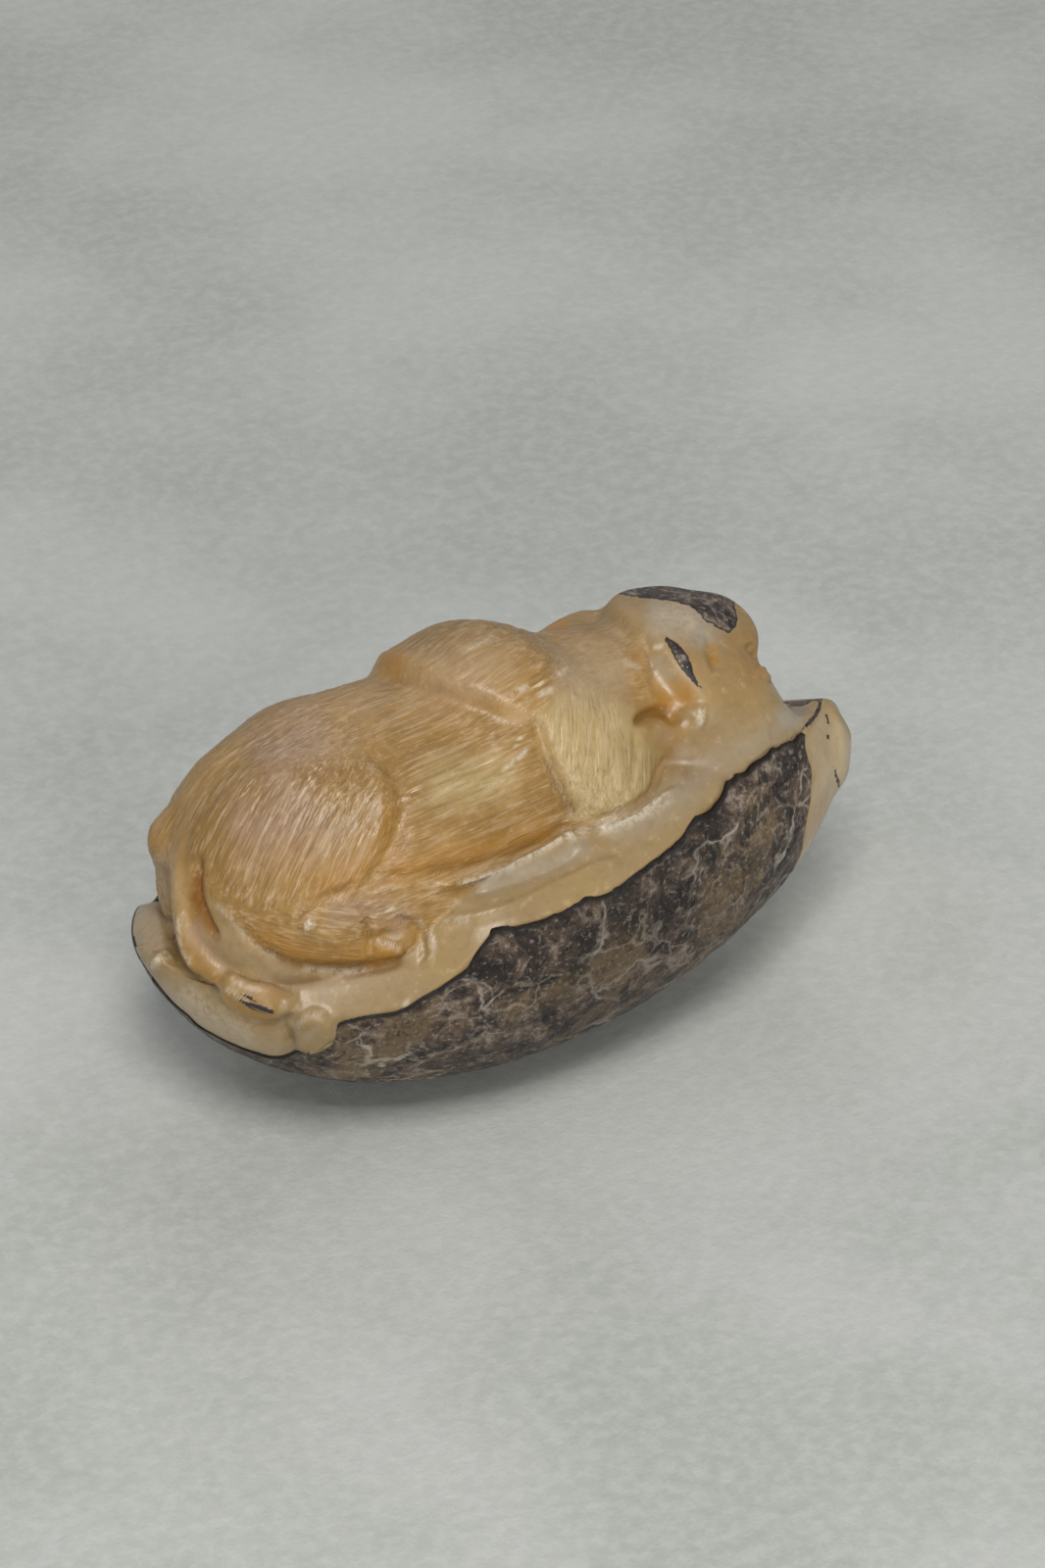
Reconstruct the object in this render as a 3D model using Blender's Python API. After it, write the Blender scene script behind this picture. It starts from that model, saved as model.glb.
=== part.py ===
"""A buffalo at rest, carved in the round from one ivory-palm nut.

The nut lies on its side. Its lower half keeps the round outside of the shell, and the upper half is cut
back to the animal: barrel, hump and mane, folded hind leg with a cloven hoof, tail round the rump, and the
head with its horn turned to the pointed end of the nut. It is one solid with a small flat to rest on.

The carving is drawn in millimetres on a nut of DRAWN_LENGTH by DRAWN_WIDTH, with its middle at zero, +X
along the nut to the head, -Y to the carved near side and +Z up. The finished form is stretched to
NUT_LENGTH and NUT_WIDTH and set down with the middle of its resting flat at zero.
"""

import math
from collections import namedtuple

import bmesh
import bpy
import numpy as np

# Driving sizes of the real piece, in metres
NUT_LENGTH = 0.0502
NUT_WIDTH = 0.0302
REST_FLAT_DEPTH = 0.00035

# The nut that the carving is drawn on, in millimetres
DRAWN_LENGTH = 50.2
DRAWN_WIDTH = 30.2
EGG_TAPER = 0.11

# Fineness of the model
ROWS_ALONG = 150
COLUMNS_ROUND = 150
KEPT_SHARE = 0.213

Lump = namedtuple("Lump", "place reach turn")
Station = namedtuple("Station", "x height")

# Shell edge on the near side and on the far side, station by station along the nut
NEAR_EDGE = [
    Station(-26.0, -1.6), Station(-21.0, -1.2), Station(-18.5, -1.8), Station(-15.5, -1.7),
    Station(-12.0, -0.3), Station(-9.0, 2.2), Station(-7.5, 2.9), Station(-5.0, 3.1), Station(0.0, 3.3),
    Station(5.0, 4.4), Station(9.0, 5.3), Station(13.0, 6.0), Station(17.0, 5.4), Station(25.0, 4.6),
]
FAR_EDGE = [
    Station(-26.0, -3.4), Station(-23.5, -3.4), Station(-22.0, -3.7), Station(-20.0, -4.8),
    Station(-17.0, -3.8), Station(-12.0, -1.2), Station(0.0, 0.0), Station(12.0, -0.6),
    Station(19.0, -2.4), Station(25.0, -3.0),
]
# Height that the ledge gains from the shell edge to the animal
LEDGE_RISE = [
    Station(-26.0, 0.6), Station(-20.0, 2.4), Station(-12.0, 3.0), Station(0.0, 3.2), Station(7.0, 3.2),
    Station(12.0, 3.0), Station(15.5, 1.8), Station(18.0, 0.4), Station(25.0, 0.1),
]
# How steeply the ledge climbs from the near shell edge, and from the far one
NEAR_SLOPE = [
    Station(-26.0, 0.9), Station(-20.0, 1.0), Station(-17.0, 1.25), Station(-12.0, 1.25), Station(-8.0, 0.95),
    Station(4.0, 0.9), Station(10.0, 0.62), Station(25.0, 0.5),
]
FAR_SLOPE = 0.6
# Share of a height above the ledge that is a safe distance from it
LEDGE_CAUTION = 0.75
# Least half-breadth that the ledge is worked out for, at the ends of the nut
END_BREADTH = 3.0
# Gouge along the near ledge: distance from the shell edge, half-width and depth
GOUGE_INSET = 2.1
GOUGE_WIDTH = 1.0
GOUGE_DEPTH = 0.3
# Middle of the gouge along the nut, and its half-length
GOUGE_MIDDLE = 0.0
GOUGE_HALF_LENGTH = 9.0

# Body masses: place, half-sizes, and turn in degrees about X, Y and Z
BARREL = Lump((-8.9, -1.8, 3.2), (14.4, 9.9, 9.2), (0, -3, 0))
RUMP = Lump((-16.4, 0.8, 2.0), (6.2, 6.4, 8.2), (0, 16, 0))
LOIN = Lump((-12.8, 2.0, 3.0), (4.0, 5.6, 7.8), (0, 0, 0))
HUMP = Lump((-0.7, -1.2, 4.8), (7.8, 8.6, 9.1), (0, 6, 0))
CHEST = Lump((3.0, -5.0, 5.0), (4.8, 6.0, 5.5), (0, 0, 0))
FAR_CHEST = Lump((2.4, 3.4, 3.6), (4.6, 5.8, 5.4), (0, 0, 0))
NECK = Lump((6.4, -1.5, 6.8), (5.6, 6.2, 5.2), (0, 0, 0))
THIGH = Lump((-16.6, -4.4, 4.4), (6.6, 6.0, 7.4), (0, 30, 0))
KNEE = Lump((-12.6, -6.0, 8.0), (3.2, 3.0, 3.2), (0, 30, 0))
RUMP_POINT = Lump((-21.4, 2.4, 4.3), (1.6, 1.9, 1.6), (0, 0, 0))
HOOF = Lump((-13.6, -10.4, 2.1), (2.0, 1.3, 1.0), (0, 0, -20))

# Head masses and hollows
SKULL = Lump((12.6, -1.2, 6.6), (5.0, 6.8, 7.2), (0, 0, 0))
CHEEK = Lump((14.0, -4.6, 5.2), (3.0, 3.6, 3.6), (0, 20, 0))
MUZZLE = Lump((16.4, -3.4, 6.2), (1.5, 1.9, 1.5), (0, 0, 0))
BROW = Lump((16.1, -1.0, 9.8), (2.6, 3.0, 2.6), (0, 0, 0))
EYE_HOLLOW = Lump((13.4, -5.4, 11.2), (0.4, 1.1, 1.2), (0, 0, 25))
THROAT_HOLLOW = Lump((7.9, -9.4, 9.9), (2.0, 1.9, 1.9), (0, 0, 0))
THROAT_MOUND = Lump((8.8, -6.9, 7.2), (1.9, 1.7, 1.5), (0, 0, 0))
EAR_TIP = Lump((9.8, -7.3, 9.0), (0.7, 0.7, 0.8), (0, 0, 0))
HILUM = Lump((20.2, -2.2, 0.6), (5.0, 5.2, 5.2), (0, 0, 0))
TAIL_TUFT = Lump((-20.9, -7.6, -1.2), (2.3, 1.3, 1.2), (0, 18, -38))

# Limbs and cuts as paths of x, y, z and radius
SHANK = [(-20.7, -6.0, 2.8, 1.7), (-18.3, -7.8, 2.1, 1.6), (-15.4, -9.8, 1.8, 1.4)]
FAR_HORN = [(9.0, 3.8, 8.6, 1.7), (7.3, 3.5, 9.2, 1.25), (6.0, 3.1, 9.3, 0.9)]
FAR_SHANK = [(-19.6, 5.4, 0.6, 1.7), (-15.8, 7.4, 0.2, 1.7), (-12.0, 8.2, 0.4, 1.3)]
TAIL = [
    (-21.9, -0.9, 6.0, 0.75), (-22.7, -1.9, 4.6, 0.9), (-23.1, -2.8, 3.2, 1.0),
    (-23.2, -3.8, 1.5, 1.15), (-22.9, -5.0, 0.3, 1.2), (-22.2, -6.4, -0.4, 1.05),
]
EAR_CREASE = [(9.7, -2.2, 12.6, 0.2), (9.2, -4.0, 11.7, 0.5), (8.8, -5.9, 10.2, 0.4)]
THIGH_CREASE = [
    (-11.4, -3.6, 12.4, 0.2), (-11.0, -6.2, 12.0, 0.5), (-11.2, -8.7, 10.5, 0.6), (-12.0, -9.6, 9.3, 0.6),
    (-13.2, -10.3, 8.1, 0.5), (-15.8, -10.7, 6.0, 0.2),
]
FORELEG_CREASE = [
    (-0.8, -7.1, 12.4, 0.2), (-0.9, -8.1, 10.9, 0.4), (-0.7, -9.1, 9.5, 0.4), (-0.2, -10.1, 7.7, 0.4),
    (0.7, -10.8, 6.1, 0.2),
]

# Rear edge of the mane: how far along the nut it lies, for places across the nut
MANE_EDGE = [
    Station(-12.5, 3.0), Station(-11.3, 1.4), Station(-10.4, 0.2), Station(-9.2, -0.6),
    Station(-8.0, -1.0), Station(-7.2, -1.1), Station(-6.6, -2.0), Station(-4.7, -4.0),
    Station(-2.2, -5.6), Station(1.0, -6.4), Station(4.0, -6.4), Station(8.0, -4.6),
]
# Height of the step on the back and on the side, and where across the nut it changes between them
MANE_STEP_TOP = 0.95
MANE_STEP_SIDE = 0.35
MANE_SIDE = -5.5
MANE_SIDE_WIDTH = 5.0
# How far behind the edge the step stands, how wide it is, and how far ahead the mane fades out
MANE_STEP_INSET = 0.35
MANE_STEP_WIDTH = 1.3
MANE_REACH = 7.0

# Saw cuts at the pointed end: direction that the cut faces, and its distance from the middle
END_CUTS = [((0.30, 0.50, 0.81), 7.6), ((0.87, -0.11, 0.48), 22.0)]
HILUM_PROUD = 0.5
TAIL_PROUD = 0.15

# Swells and dips of the nut at the crown: place, height and reach
CROWN_SWELLS = [((17.2, 0.6, 10.4), 0.8, 4.0), ((7.0, 3.0, 13.4), -1.3, 4.5)]
# The face runs down into the ledge in a fillet that grows along the nut from its start
FACE_FILLET = 3.4
FACE_FILLET_START = 9.2
FACE_FILLET_REACH = 4.5

# Middle of the core line that the skin of points fans out from, low and away from the carved near side
CORE_MIDDLE = np.array([2.0, 2.2, -4.5])

# Widths of the rounded joins between forms
BROAD_JOIN = 2.0
FULL_JOIN = 1.0
SMALL_JOIN = 0.4
TIGHT_JOIN = 0.25


def blend(first, second, width):
    """Join two fields, rounding the inside corner between them over the width."""
    share = np.clip(0.5 + 0.5 * (second - first) / width, 0.0, 1.0)
    return second + (first - second) * share - width * share * (1.0 - share)


def trim(first, second, width):
    """Keep what lies inside both fields, rounding the edge over the width."""
    return -blend(-first, -second, width)


def smooth_step(distance, width):
    """Climb from 0 to 1 over the width, centred where the distance is zero."""
    share = np.clip(distance / width + 0.5, 0.0, 1.0)
    return share * share * (3.0 - 2.0 * share)


def turned(vectors, degrees):
    """Turn row vectors back by angles about X, Y and Z."""
    for axis, angle in enumerate(degrees[::-1]):
        low, high = ((0, 1), (2, 0), (1, 2))[axis]
        cosine, sine = math.cos(math.radians(angle)), math.sin(math.radians(angle))
        first, second = vectors[:, low].copy(), vectors[:, high].copy()
        vectors[:, low] = cosine * first + sine * second
        vectors[:, high] = cosine * second - sine * first
    return vectors


def oval_distance(offsets, reach):
    """Distance to an ellipsoid with the given half-sizes, negative inside."""
    near = np.linalg.norm(offsets / reach, axis=1)
    far = np.linalg.norm(offsets / (reach * reach), axis=1) + 1e-9
    return near * (near - 1.0) / far


def lump_distance(points, lump):
    """Distance to a turned ellipsoid."""
    offsets = turned(points - np.array(lump.place), lump.turn)
    return oval_distance(offsets, np.array(lump.reach))


def along(values, stations):
    """Read a smooth curve through the stations."""
    places = np.array([station[0] for station in stations])
    heights = np.array([station[1] for station in stations])
    slopes = np.gradient(heights, places)
    values = np.clip(values, places[0], places[-1])
    index = np.clip(np.searchsorted(places, values) - 1, 0, len(places) - 2)
    span = places[index + 1] - places[index]
    share = (values - places[index]) / span
    square, cube = share ** 2, share ** 3
    start = (2 * cube - 3 * square + 1) * heights[index]
    start += (cube - 2 * square + share) * span * slopes[index]
    end = (3 * square - 2 * cube) * heights[index + 1] + (cube - square) * span * slopes[index + 1]
    return start + end


def smooth_path(knots, pieces=6):
    """Points on a smooth curve that passes through every knot."""
    knots = np.array(knots)
    ends = np.vstack([2 * knots[0] - knots[1], knots, 2 * knots[-1] - knots[-2]])
    path = []
    for before, start, end, after in zip(ends, ends[1:], ends[2:], ends[3:]):
        for share in np.arange(pieces) / pieces:
            bend = (2 * before - 5 * start + 4 * end - after) * share ** 2
            twist = (3 * start - before - 3 * end + after) * share ** 3
            path.append(0.5 * (2 * start + (end - before) * share + bend + twist))
    path.append(knots[-1])
    return path


def limb_distance(points, knots):
    """Distance to a round limb of changing radius that follows the knots."""
    path = smooth_path(knots)
    nearest = None
    for start, end in zip(path, path[1:]):
        reach = end[:3] - start[:3]
        share = np.clip((points - start[:3]) @ reach / (reach @ reach), 0.0, 1.0)
        gap = np.linalg.norm(points - start[:3] - share[:, None] * reach, axis=1)
        gap -= start[3] + share * (end[3] - start[3])
        nearest = gap if nearest is None else np.minimum(nearest, gap)
    return nearest


def nut_radius(x):
    """Radius of the whole nut at a place along it."""
    share = np.clip(x / (0.5 * DRAWN_LENGTH), -1.0, 1.0)
    return 0.5 * DRAWN_WIDTH * np.sqrt(1.0 - share ** 2) * (1.0 - EGG_TAPER * share)


def nut_distance(points):
    """Distance to the egg-shaped outside of the whole nut."""
    half_length, half_width = 0.5 * DRAWN_LENGTH, 0.5 * DRAWN_WIDTH
    width = half_width * (1.0 - EGG_TAPER * points[:, 0] / half_length)
    reach = np.stack([np.full_like(width, half_length), width, width], axis=1)
    return oval_distance(points, reach)


def half_breadth(x, height):
    """Half the breadth of the nut at a place along it and a height."""
    return np.sqrt(np.clip(nut_radius(x) ** 2 - height ** 2, 0.0, None))


def swelling(points):
    """How far the nut bulges beyond the plain egg."""
    total = np.zeros(len(points))
    for place, height, reach in CROWN_SWELLS:
        gap = np.linalg.norm(points - np.array(place), axis=1)
        total += height * np.exp(-(gap / reach) ** 2)
    return total


def ledge_distance(points):
    """Height above the ledge that runs from the shell edge up to the animal."""
    x, y, z = points.T
    near, far, rise, slope = (along(x, line) for line in (NEAR_EDGE, FAR_EDGE, LEDGE_RISE, NEAR_SLOPE))
    near_breadth = np.maximum(half_breadth(x, near), END_BREADTH)
    far_breadth = np.maximum(half_breadth(x, far), END_BREADTH)
    from_near = np.clip(near_breadth + y, 0.0, None)
    from_far = np.clip(far_breadth - y, 0.0, None)
    crossing = from_near / (near_breadth + far_breadth)
    gain = rise * np.minimum(np.tanh(slope * from_near / rise), np.tanh(FAR_SLOPE * from_far / rise))
    gouge = np.exp(-((from_near - GOUGE_INSET) / GOUGE_WIDTH) ** 2)
    gouge *= np.exp(-((x - GOUGE_MIDDLE) / GOUGE_HALF_LENGTH) ** 4)
    field = LEDGE_CAUTION * (z - (near + (far - near) * crossing + gain - GOUGE_DEPTH * gouge))
    for direction, distance in END_CUTS:
        field = trim(field, points @ np.array(direction) - distance, SMALL_JOIN)
    return field


def mane_lift(points):
    """How far the mane stands above the barrel behind it, in a step along its rear edge."""
    x, y = points[:, 0], points[:, 1]
    ahead = x - along(y, MANE_EDGE)
    height = MANE_STEP_SIDE + (MANE_STEP_TOP - MANE_STEP_SIDE) * smooth_step(y - MANE_SIDE, MANE_SIDE_WIDTH)
    step = smooth_step(ahead - MANE_STEP_INSET, MANE_STEP_WIDTH)
    return height * step * smooth_step(MANE_REACH - ahead, MANE_REACH)


def body_distance(points):
    """Barrel, hump, chest, neck and hindquarters with the folded leg."""
    field = lump_distance(points, BARREL)
    for lump in (RUMP, LOIN, HUMP, CHEST, FAR_CHEST):
        field = blend(field, lump_distance(points, lump), BROAD_JOIN)
    field = blend(field, lump_distance(points, NECK), BROAD_JOIN) - mane_lift(points)
    thigh = blend(lump_distance(points, THIGH), lump_distance(points, KNEE), BROAD_JOIN)
    field = blend(field, thigh, BROAD_JOIN)
    for crease in (THIGH_CREASE, FORELEG_CREASE):
        field = trim(field, -limb_distance(points, crease), FULL_JOIN)
    field = blend(field, lump_distance(points, RUMP_POINT), FULL_JOIN)
    for shank in (SHANK, FAR_SHANK):
        field = blend(field, limb_distance(points, shank), SMALL_JOIN)
    return blend(field, lump_distance(points, HOOF), TIGHT_JOIN)


def head_distance(points):
    """Head with cheek and muzzle, and the horn on each side."""
    field = lump_distance(points, SKULL)
    field = blend(field, lump_distance(points, CHEEK), BROAD_JOIN)
    for lump in (MUZZLE, BROW):
        field = blend(field, lump_distance(points, lump), FULL_JOIN)
    return blend(field, limb_distance(points, FAR_HORN), FULL_JOIN)


def carving_distance(points):
    """The whole carving: ledge, animal, hilum end and tail."""
    nut = nut_distance(points) - swelling(points)
    ledge = ledge_distance(points)
    animal = blend(body_distance(points), head_distance(points), FULL_JOIN)
    animal = trim(animal, -limb_distance(points, EAR_CREASE), FULL_JOIN)
    for hollow in (THROAT_HOLLOW, EYE_HOLLOW):
        animal = trim(animal, -lump_distance(points, hollow), SMALL_JOIN)
    animal = blend(animal, lump_distance(points, THROAT_MOUND), FULL_JOIN)
    animal = blend(animal, lump_distance(points, EAR_TIP), TIGHT_JOIN)
    fillet = TIGHT_JOIN + FACE_FILLET * smooth_step(points[:, 0] - FACE_FILLET_START, FACE_FILLET_REACH)
    field = blend(trim(nut, ledge, SMALL_JOIN), trim(animal, nut, FULL_JOIN), fillet)
    field = trim(field, nut, TIGHT_JOIN)
    hilum = trim(lump_distance(points, HILUM), ledge, SMALL_JOIN)
    field = blend(field, trim(hilum, nut - HILUM_PROUD, TIGHT_JOIN), SMALL_JOIN)
    tail = blend(limb_distance(points, TAIL), lump_distance(points, TAIL_TUFT), SMALL_JOIN)
    return blend(field, trim(tail, nut - TAIL_PROUD, TIGHT_JOIN), TIGHT_JOIN)


def carved_points(directions):
    """Follow a line in from outside the nut, for each direction, to the surface of the carving.

    The lines start on a core line inside the nut and fan out without crossing, so that the skin of
    points never folds over itself.
    """
    core_length, start_gap, closeness, steps = 0.62, 2.5, 0.002, 60
    target_x = 0.5 * DRAWN_LENGTH * directions[:, 0]
    target = np.stack([target_x, directions[:, 1], directions[:, 2]], axis=1)
    target[:, 1:] *= 0.5 * DRAWN_WIDTH * (1.0 - EGG_TAPER * directions[:, :1])
    core = np.stack([core_length * target_x, 0.0 * target_x, 0.0 * target_x], axis=1) + CORE_MIDDLE
    lines = target - core
    lengths = np.linalg.norm(lines, axis=1)
    lines /= lengths[:, None]
    travelled = lengths + start_gap
    moving = np.arange(len(lines))
    for _ in range(steps):
        gap = carving_distance(core[moving] + lines[moving] * travelled[moving, None])
        travelled[moving] -= 0.8 * gap
        moving = moving[np.abs(gap) > closeness]
        if len(moving) == 0:
            break
    return core + lines * travelled[:, None]


def finish(name, colour, roughness):
    """A plain finish with one colour and roughness."""
    material = bpy.data.materials.new(name)
    material.use_nodes = True
    shader = material.node_tree.nodes["Principled BSDF"]
    shader.inputs["Base Color"].default_value = (*colour, 1.0)
    shader.inputs["Roughness"].default_value = roughness
    shader.inputs["Metallic"].default_value = 0.0
    return material


def carved_nut():
    """The carved nut: a sphere of points drawn in to the carving, thinned, and cut flat below."""
    body = bmesh.new()
    sphere = bmesh.ops.create_uvsphere(body, u_segments=COLUMNS_ROUND, v_segments=ROWS_ALONG, radius=1.0)
    directions = np.array([(vertex.co.z, vertex.co.x, vertex.co.y) for vertex in sphere["verts"]])
    widest = 0.5 * DRAWN_LENGTH * (1.0 - math.sqrt(1.0 + 8.0 * EGG_TAPER ** 2)) / (4.0 * EGG_TAPER)
    resting_place = np.array([widest, 0.0, -nut_radius(widest)])
    stretch = np.array([NUT_LENGTH / DRAWN_LENGTH, NUT_WIDTH / DRAWN_WIDTH, NUT_WIDTH / DRAWN_WIDTH])
    points = (carved_points(directions) - resting_place) * stretch
    points[:, 2] -= REST_FLAT_DEPTH
    for vertex, point in zip(sphere["verts"], points):
        vertex.co = point
    mesh = bpy.data.meshes.new("buffalo_nut_carving")
    body.to_mesh(mesh)
    body.free()
    carving = bpy.data.objects.new("buffalo_nut_carving", mesh)
    bpy.context.scene.collection.objects.link(carving)
    thinner = carving.modifiers.new("Fewer facets", "DECIMATE")
    thinner.ratio = KEPT_SHARE
    return carving


def resting_flat(carving):
    """Cut the underside level, so that the round nut doesn't roll."""
    bpy.ops.mesh.primitive_cube_add(size=NUT_LENGTH, location=(0.0, 0.0, -0.5 * NUT_LENGTH))
    cutter = bpy.context.active_object
    cutter.name = "resting_flat_cutter"
    cutter.hide_render = True
    cutter.display_type = "WIRE"
    cut = carving.modifiers.new("Resting flat", "BOOLEAN")
    cut.operation = "DIFFERENCE"
    cut.object = cutter


def main():
    """Clear the file and model the carving."""
    for item in list(bpy.data.objects):
        bpy.data.objects.remove(item, do_unlink=True)
    carving = carved_nut()
    carving.data.materials.append(finish("palm_ivory", (0.56, 0.34, 0.17), 0.38))
    resting_flat(carving)


main()
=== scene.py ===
"""Looks of a buffalo at rest, carved in the round from one ivory-palm nut.

The carved nut is two fitted surfaces: the ivory, with the animal and the ledge that it lies on, and the
dark skin of shell that still wraps the lower half. Both are worked out with numpy from distance fields in
millimetres, in a frame with its middle in the nut, +X along it to the head, -Y to the carved near side and
+Z up, and are set down in the row's frame in metres.
"""

import logging
import math
from dataclasses import dataclass, field
from enum import Enum

import bpy
import numpy as np
from mathutils import Matrix, Vector


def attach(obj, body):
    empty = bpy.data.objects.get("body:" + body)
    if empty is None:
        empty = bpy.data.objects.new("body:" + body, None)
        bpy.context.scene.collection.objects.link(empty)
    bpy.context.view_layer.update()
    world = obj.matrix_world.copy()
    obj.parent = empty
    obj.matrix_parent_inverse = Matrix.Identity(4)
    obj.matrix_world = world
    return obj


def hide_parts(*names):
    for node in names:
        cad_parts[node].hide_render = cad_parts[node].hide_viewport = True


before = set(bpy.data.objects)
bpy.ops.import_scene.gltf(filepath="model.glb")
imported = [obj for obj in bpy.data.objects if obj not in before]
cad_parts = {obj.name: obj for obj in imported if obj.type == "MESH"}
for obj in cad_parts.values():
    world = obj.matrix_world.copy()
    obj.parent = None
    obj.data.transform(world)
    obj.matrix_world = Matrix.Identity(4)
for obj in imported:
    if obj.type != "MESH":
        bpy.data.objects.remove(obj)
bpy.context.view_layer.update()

NODE = "buffalo_nut_carving"
BODY = "root"
MILLIMETRE = 0.001
# Middle of the nut, in millimetres in the row's frame
NUT_MIDDLE = np.array([2.70, 0.0, 14.84])
# Share of the rows and columns that is kept for quick work
LIT_PLACE = (0.0, 0.0, 0.012)
# Keeps a division away from zero
TINY = 1e-9

Vec = tuple[float, float, float]
Array = np.ndarray
Socket = bpy.types.NodeSocket

# Widths of the rounded joins between forms, in millimetres
BROAD_JOIN = 2.0
FULL_JOIN = 1.0
SMALL_JOIN = 0.4
TIGHT_JOIN = 0.2
CRISP_JOIN = 0.1

log = logging.getLogger("carving")


def detail() -> float:
    """Share of the full rows and columns that the surfaces get."""
    return 1.0


# Distance fields
def blend(first: Array, second: Array, width: float) -> Array:
    """Join two fields, rounding the inside corner: lesser of both, less width * s * (1 - s)."""
    share = np.clip(0.5 + 0.5 * (second - first) / width, 0.0, 1.0)
    return second + (first - second) * share - width * share * (1.0 - share)


def trim(first: Array, second: Array, width: float) -> Array:
    """Keep what lies inside both fields, rounding the edge over the width."""
    return -blend(-first, -second, width)


def smooth_step(distance: Array, width: float) -> Array:
    """Climb from 0 to 1 over the width, centred where the distance is zero: s * s * (3 - 2 s)."""
    share = np.clip(distance / width + 0.5, 0.0, 1.0)
    return share * share * (3.0 - 2.0 * share)


def smooth_clip(share: Array, low: float, high: float) -> Array:
    """Hold a share between two bounds and round its climb: s * s * (3 - 2 s)."""
    held = np.clip(share, low, high)
    return held * held * (3.0 - 2.0 * held)


def bell(distance: Array, width: float) -> Array:
    """Bell curve exp(-(distance / width) ** 2)."""
    return np.exp(-(distance / width) ** 2)


def smooth_path(knots: Array, pieces: int) -> Array:
    """Points on the Catmull-Rom curve through every knot.

    Between two knots, with s from 0 to 1, a point is half of 2 b + (c - a) s + (2 a - 5 b + 4 c - d) s * s +
    (3 b - a - 3 c + d) s * s * s, where a is the knot before, b and c are the two, and d is the one after.

    Args:
        knots: One knot per row.
        pieces: Number of points from one knot to the next.

    Returns:
        One point per row, with the last knot at the end.
    """
    ends = np.vstack([2 * knots[0] - knots[1], knots, 2 * knots[-1] - knots[-2]])
    share = (np.arange(pieces) / pieces)[:, None]
    spans = [
        0.5 * (2 * start + (end - before) * share
               + (2 * before - 5 * start + 4 * end - after) * share ** 2
               + (3 * start - before - 3 * end + after) * share ** 3)
        for before, start, end, after in zip(ends, ends[1:], ends[2:], ends[3:])
    ]
    return np.vstack(spans + [knots[-1:]])


def value_noise(points: Array, cell: float, seed: int) -> Array:
    """Smooth random values from -1 to 1 on a lattice.

    Each lattice corner has a random value, and a point takes the mix of its cell's eight corners with
    weights s * s * (3 - 2 s) along each axis.

    Args:
        points: Places in millimetres, one per row.
        cell: Edge of a lattice cell in millimetres.
        seed: Seed of the lattice's random values.

    Returns:
        One value per point.
    """
    size = 32
    lattice = np.random.default_rng(seed).uniform(-1.0, 1.0, (size, size, size))
    scaled = points / cell
    corner = np.floor(scaled).astype(int)
    share = scaled - corner
    share = share * share * (3.0 - 2.0 * share)
    total = np.zeros(len(points))
    for step in np.ndindex(2, 2, 2):
        weight = np.prod(np.where(step, share, 1.0 - share), axis=1)
        total += weight * lattice[tuple(((corner + step) % size).T)]
    return total


@dataclass(frozen=True)
class Lump:
    """An ellipsoid by its place, half-sizes and turn in degrees about X, Y and Z."""

    place: Vec
    reach: Vec
    turn: Vec = (0.0, 0.0, 0.0)

    def distance(self, points: Array) -> Array:
        """Distance to the ellipsoid, negative inside.

        It is n * (n - 1) / |offset / reach ** 2|, where n = |offset / reach|.

        Args:
            points: Places in millimetres, one per row.

        Returns:
            One distance per point, in millimetres.
        """
        offsets = points - np.array(self.place)
        for axis, angle in enumerate(self.turn[::-1]):
            low, high = ((0, 1), (2, 0), (1, 2))[axis]
            cosine, sine = math.cos(math.radians(angle)), math.sin(math.radians(angle))
            first, second = offsets[:, low].copy(), offsets[:, high].copy()
            offsets[:, low] = cosine * first + sine * second
            offsets[:, high] = cosine * second - sine * first
        reach = np.array(self.reach)
        near = np.linalg.norm(offsets / reach, axis=1)
        far = np.linalg.norm(offsets / (reach * reach), axis=1) + TINY
        return near * (near - 1.0) / far


@dataclass(frozen=True)
class Limb:
    """A round limb of changing radius on a smooth path through knots of x, y, z and radius."""

    knots: tuple[tuple[float, float, float, float], ...]
    pieces: int = 6
    margin: float = 2.5

    def path(self) -> Array:
        """Points on the smooth path, each with its radius."""
        return smooth_path(np.array(self.knots), self.pieces)

    def distance(self, points: Array) -> Array:
        """Distance to the limb: the least of |offset from a piece| - radius, or the margin beyond it.

        Args:
            points: Places in millimetres, one per row.

        Returns:
            One distance per point, in millimetres.
        """
        path = self.path()
        spare = path[:, 3].max() + self.margin
        low, high = path[:, :3].min(axis=0) - spare, path[:, :3].max(axis=0) + spare
        close = np.all((points > low) & (points < high), axis=1)
        some = points[close]
        nearest = np.full(len(some), self.margin)
        for start, end in zip(path, path[1:]):
            reach = end[:3] - start[:3]
            share = np.clip((some - start[:3]) @ reach / (reach @ reach), 0.0, 1.0)
            gap = np.linalg.norm(some - start[:3] - share[:, None] * reach, axis=1)
            nearest = np.minimum(nearest, gap - start[3] - share * (end[3] - start[3]))
        result = np.full(len(points), self.margin)
        result[close] = nearest
        return result


@dataclass(frozen=True)
class Profile:
    """A smooth curve through stations of place and height."""

    stations: tuple[tuple[float, float], ...]

    def at(self, values: Array) -> Array:
        """Read the curve: cubic Hermite spans between stations, level beyond the ends.

        Args:
            values: Places to read the curve at.

        Returns:
            One height per place.
        """
        places, heights = np.array(self.stations).T
        slopes = np.gradient(heights, places)
        values = np.clip(values, places[0], places[-1])
        index = np.clip(np.searchsorted(places, values) - 1, 0, len(places) - 2)
        span = places[index + 1] - places[index]
        share = (values - places[index]) / span
        square, cube = share ** 2, share ** 3
        start = (2 * cube - 3 * square + 1) * heights[index]
        start += (cube - 2 * square + share) * span * slopes[index]
        end = (3 * square - 2 * cube) * heights[index + 1] + (cube - square) * span * slopes[index + 1]
        return start + end


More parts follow.
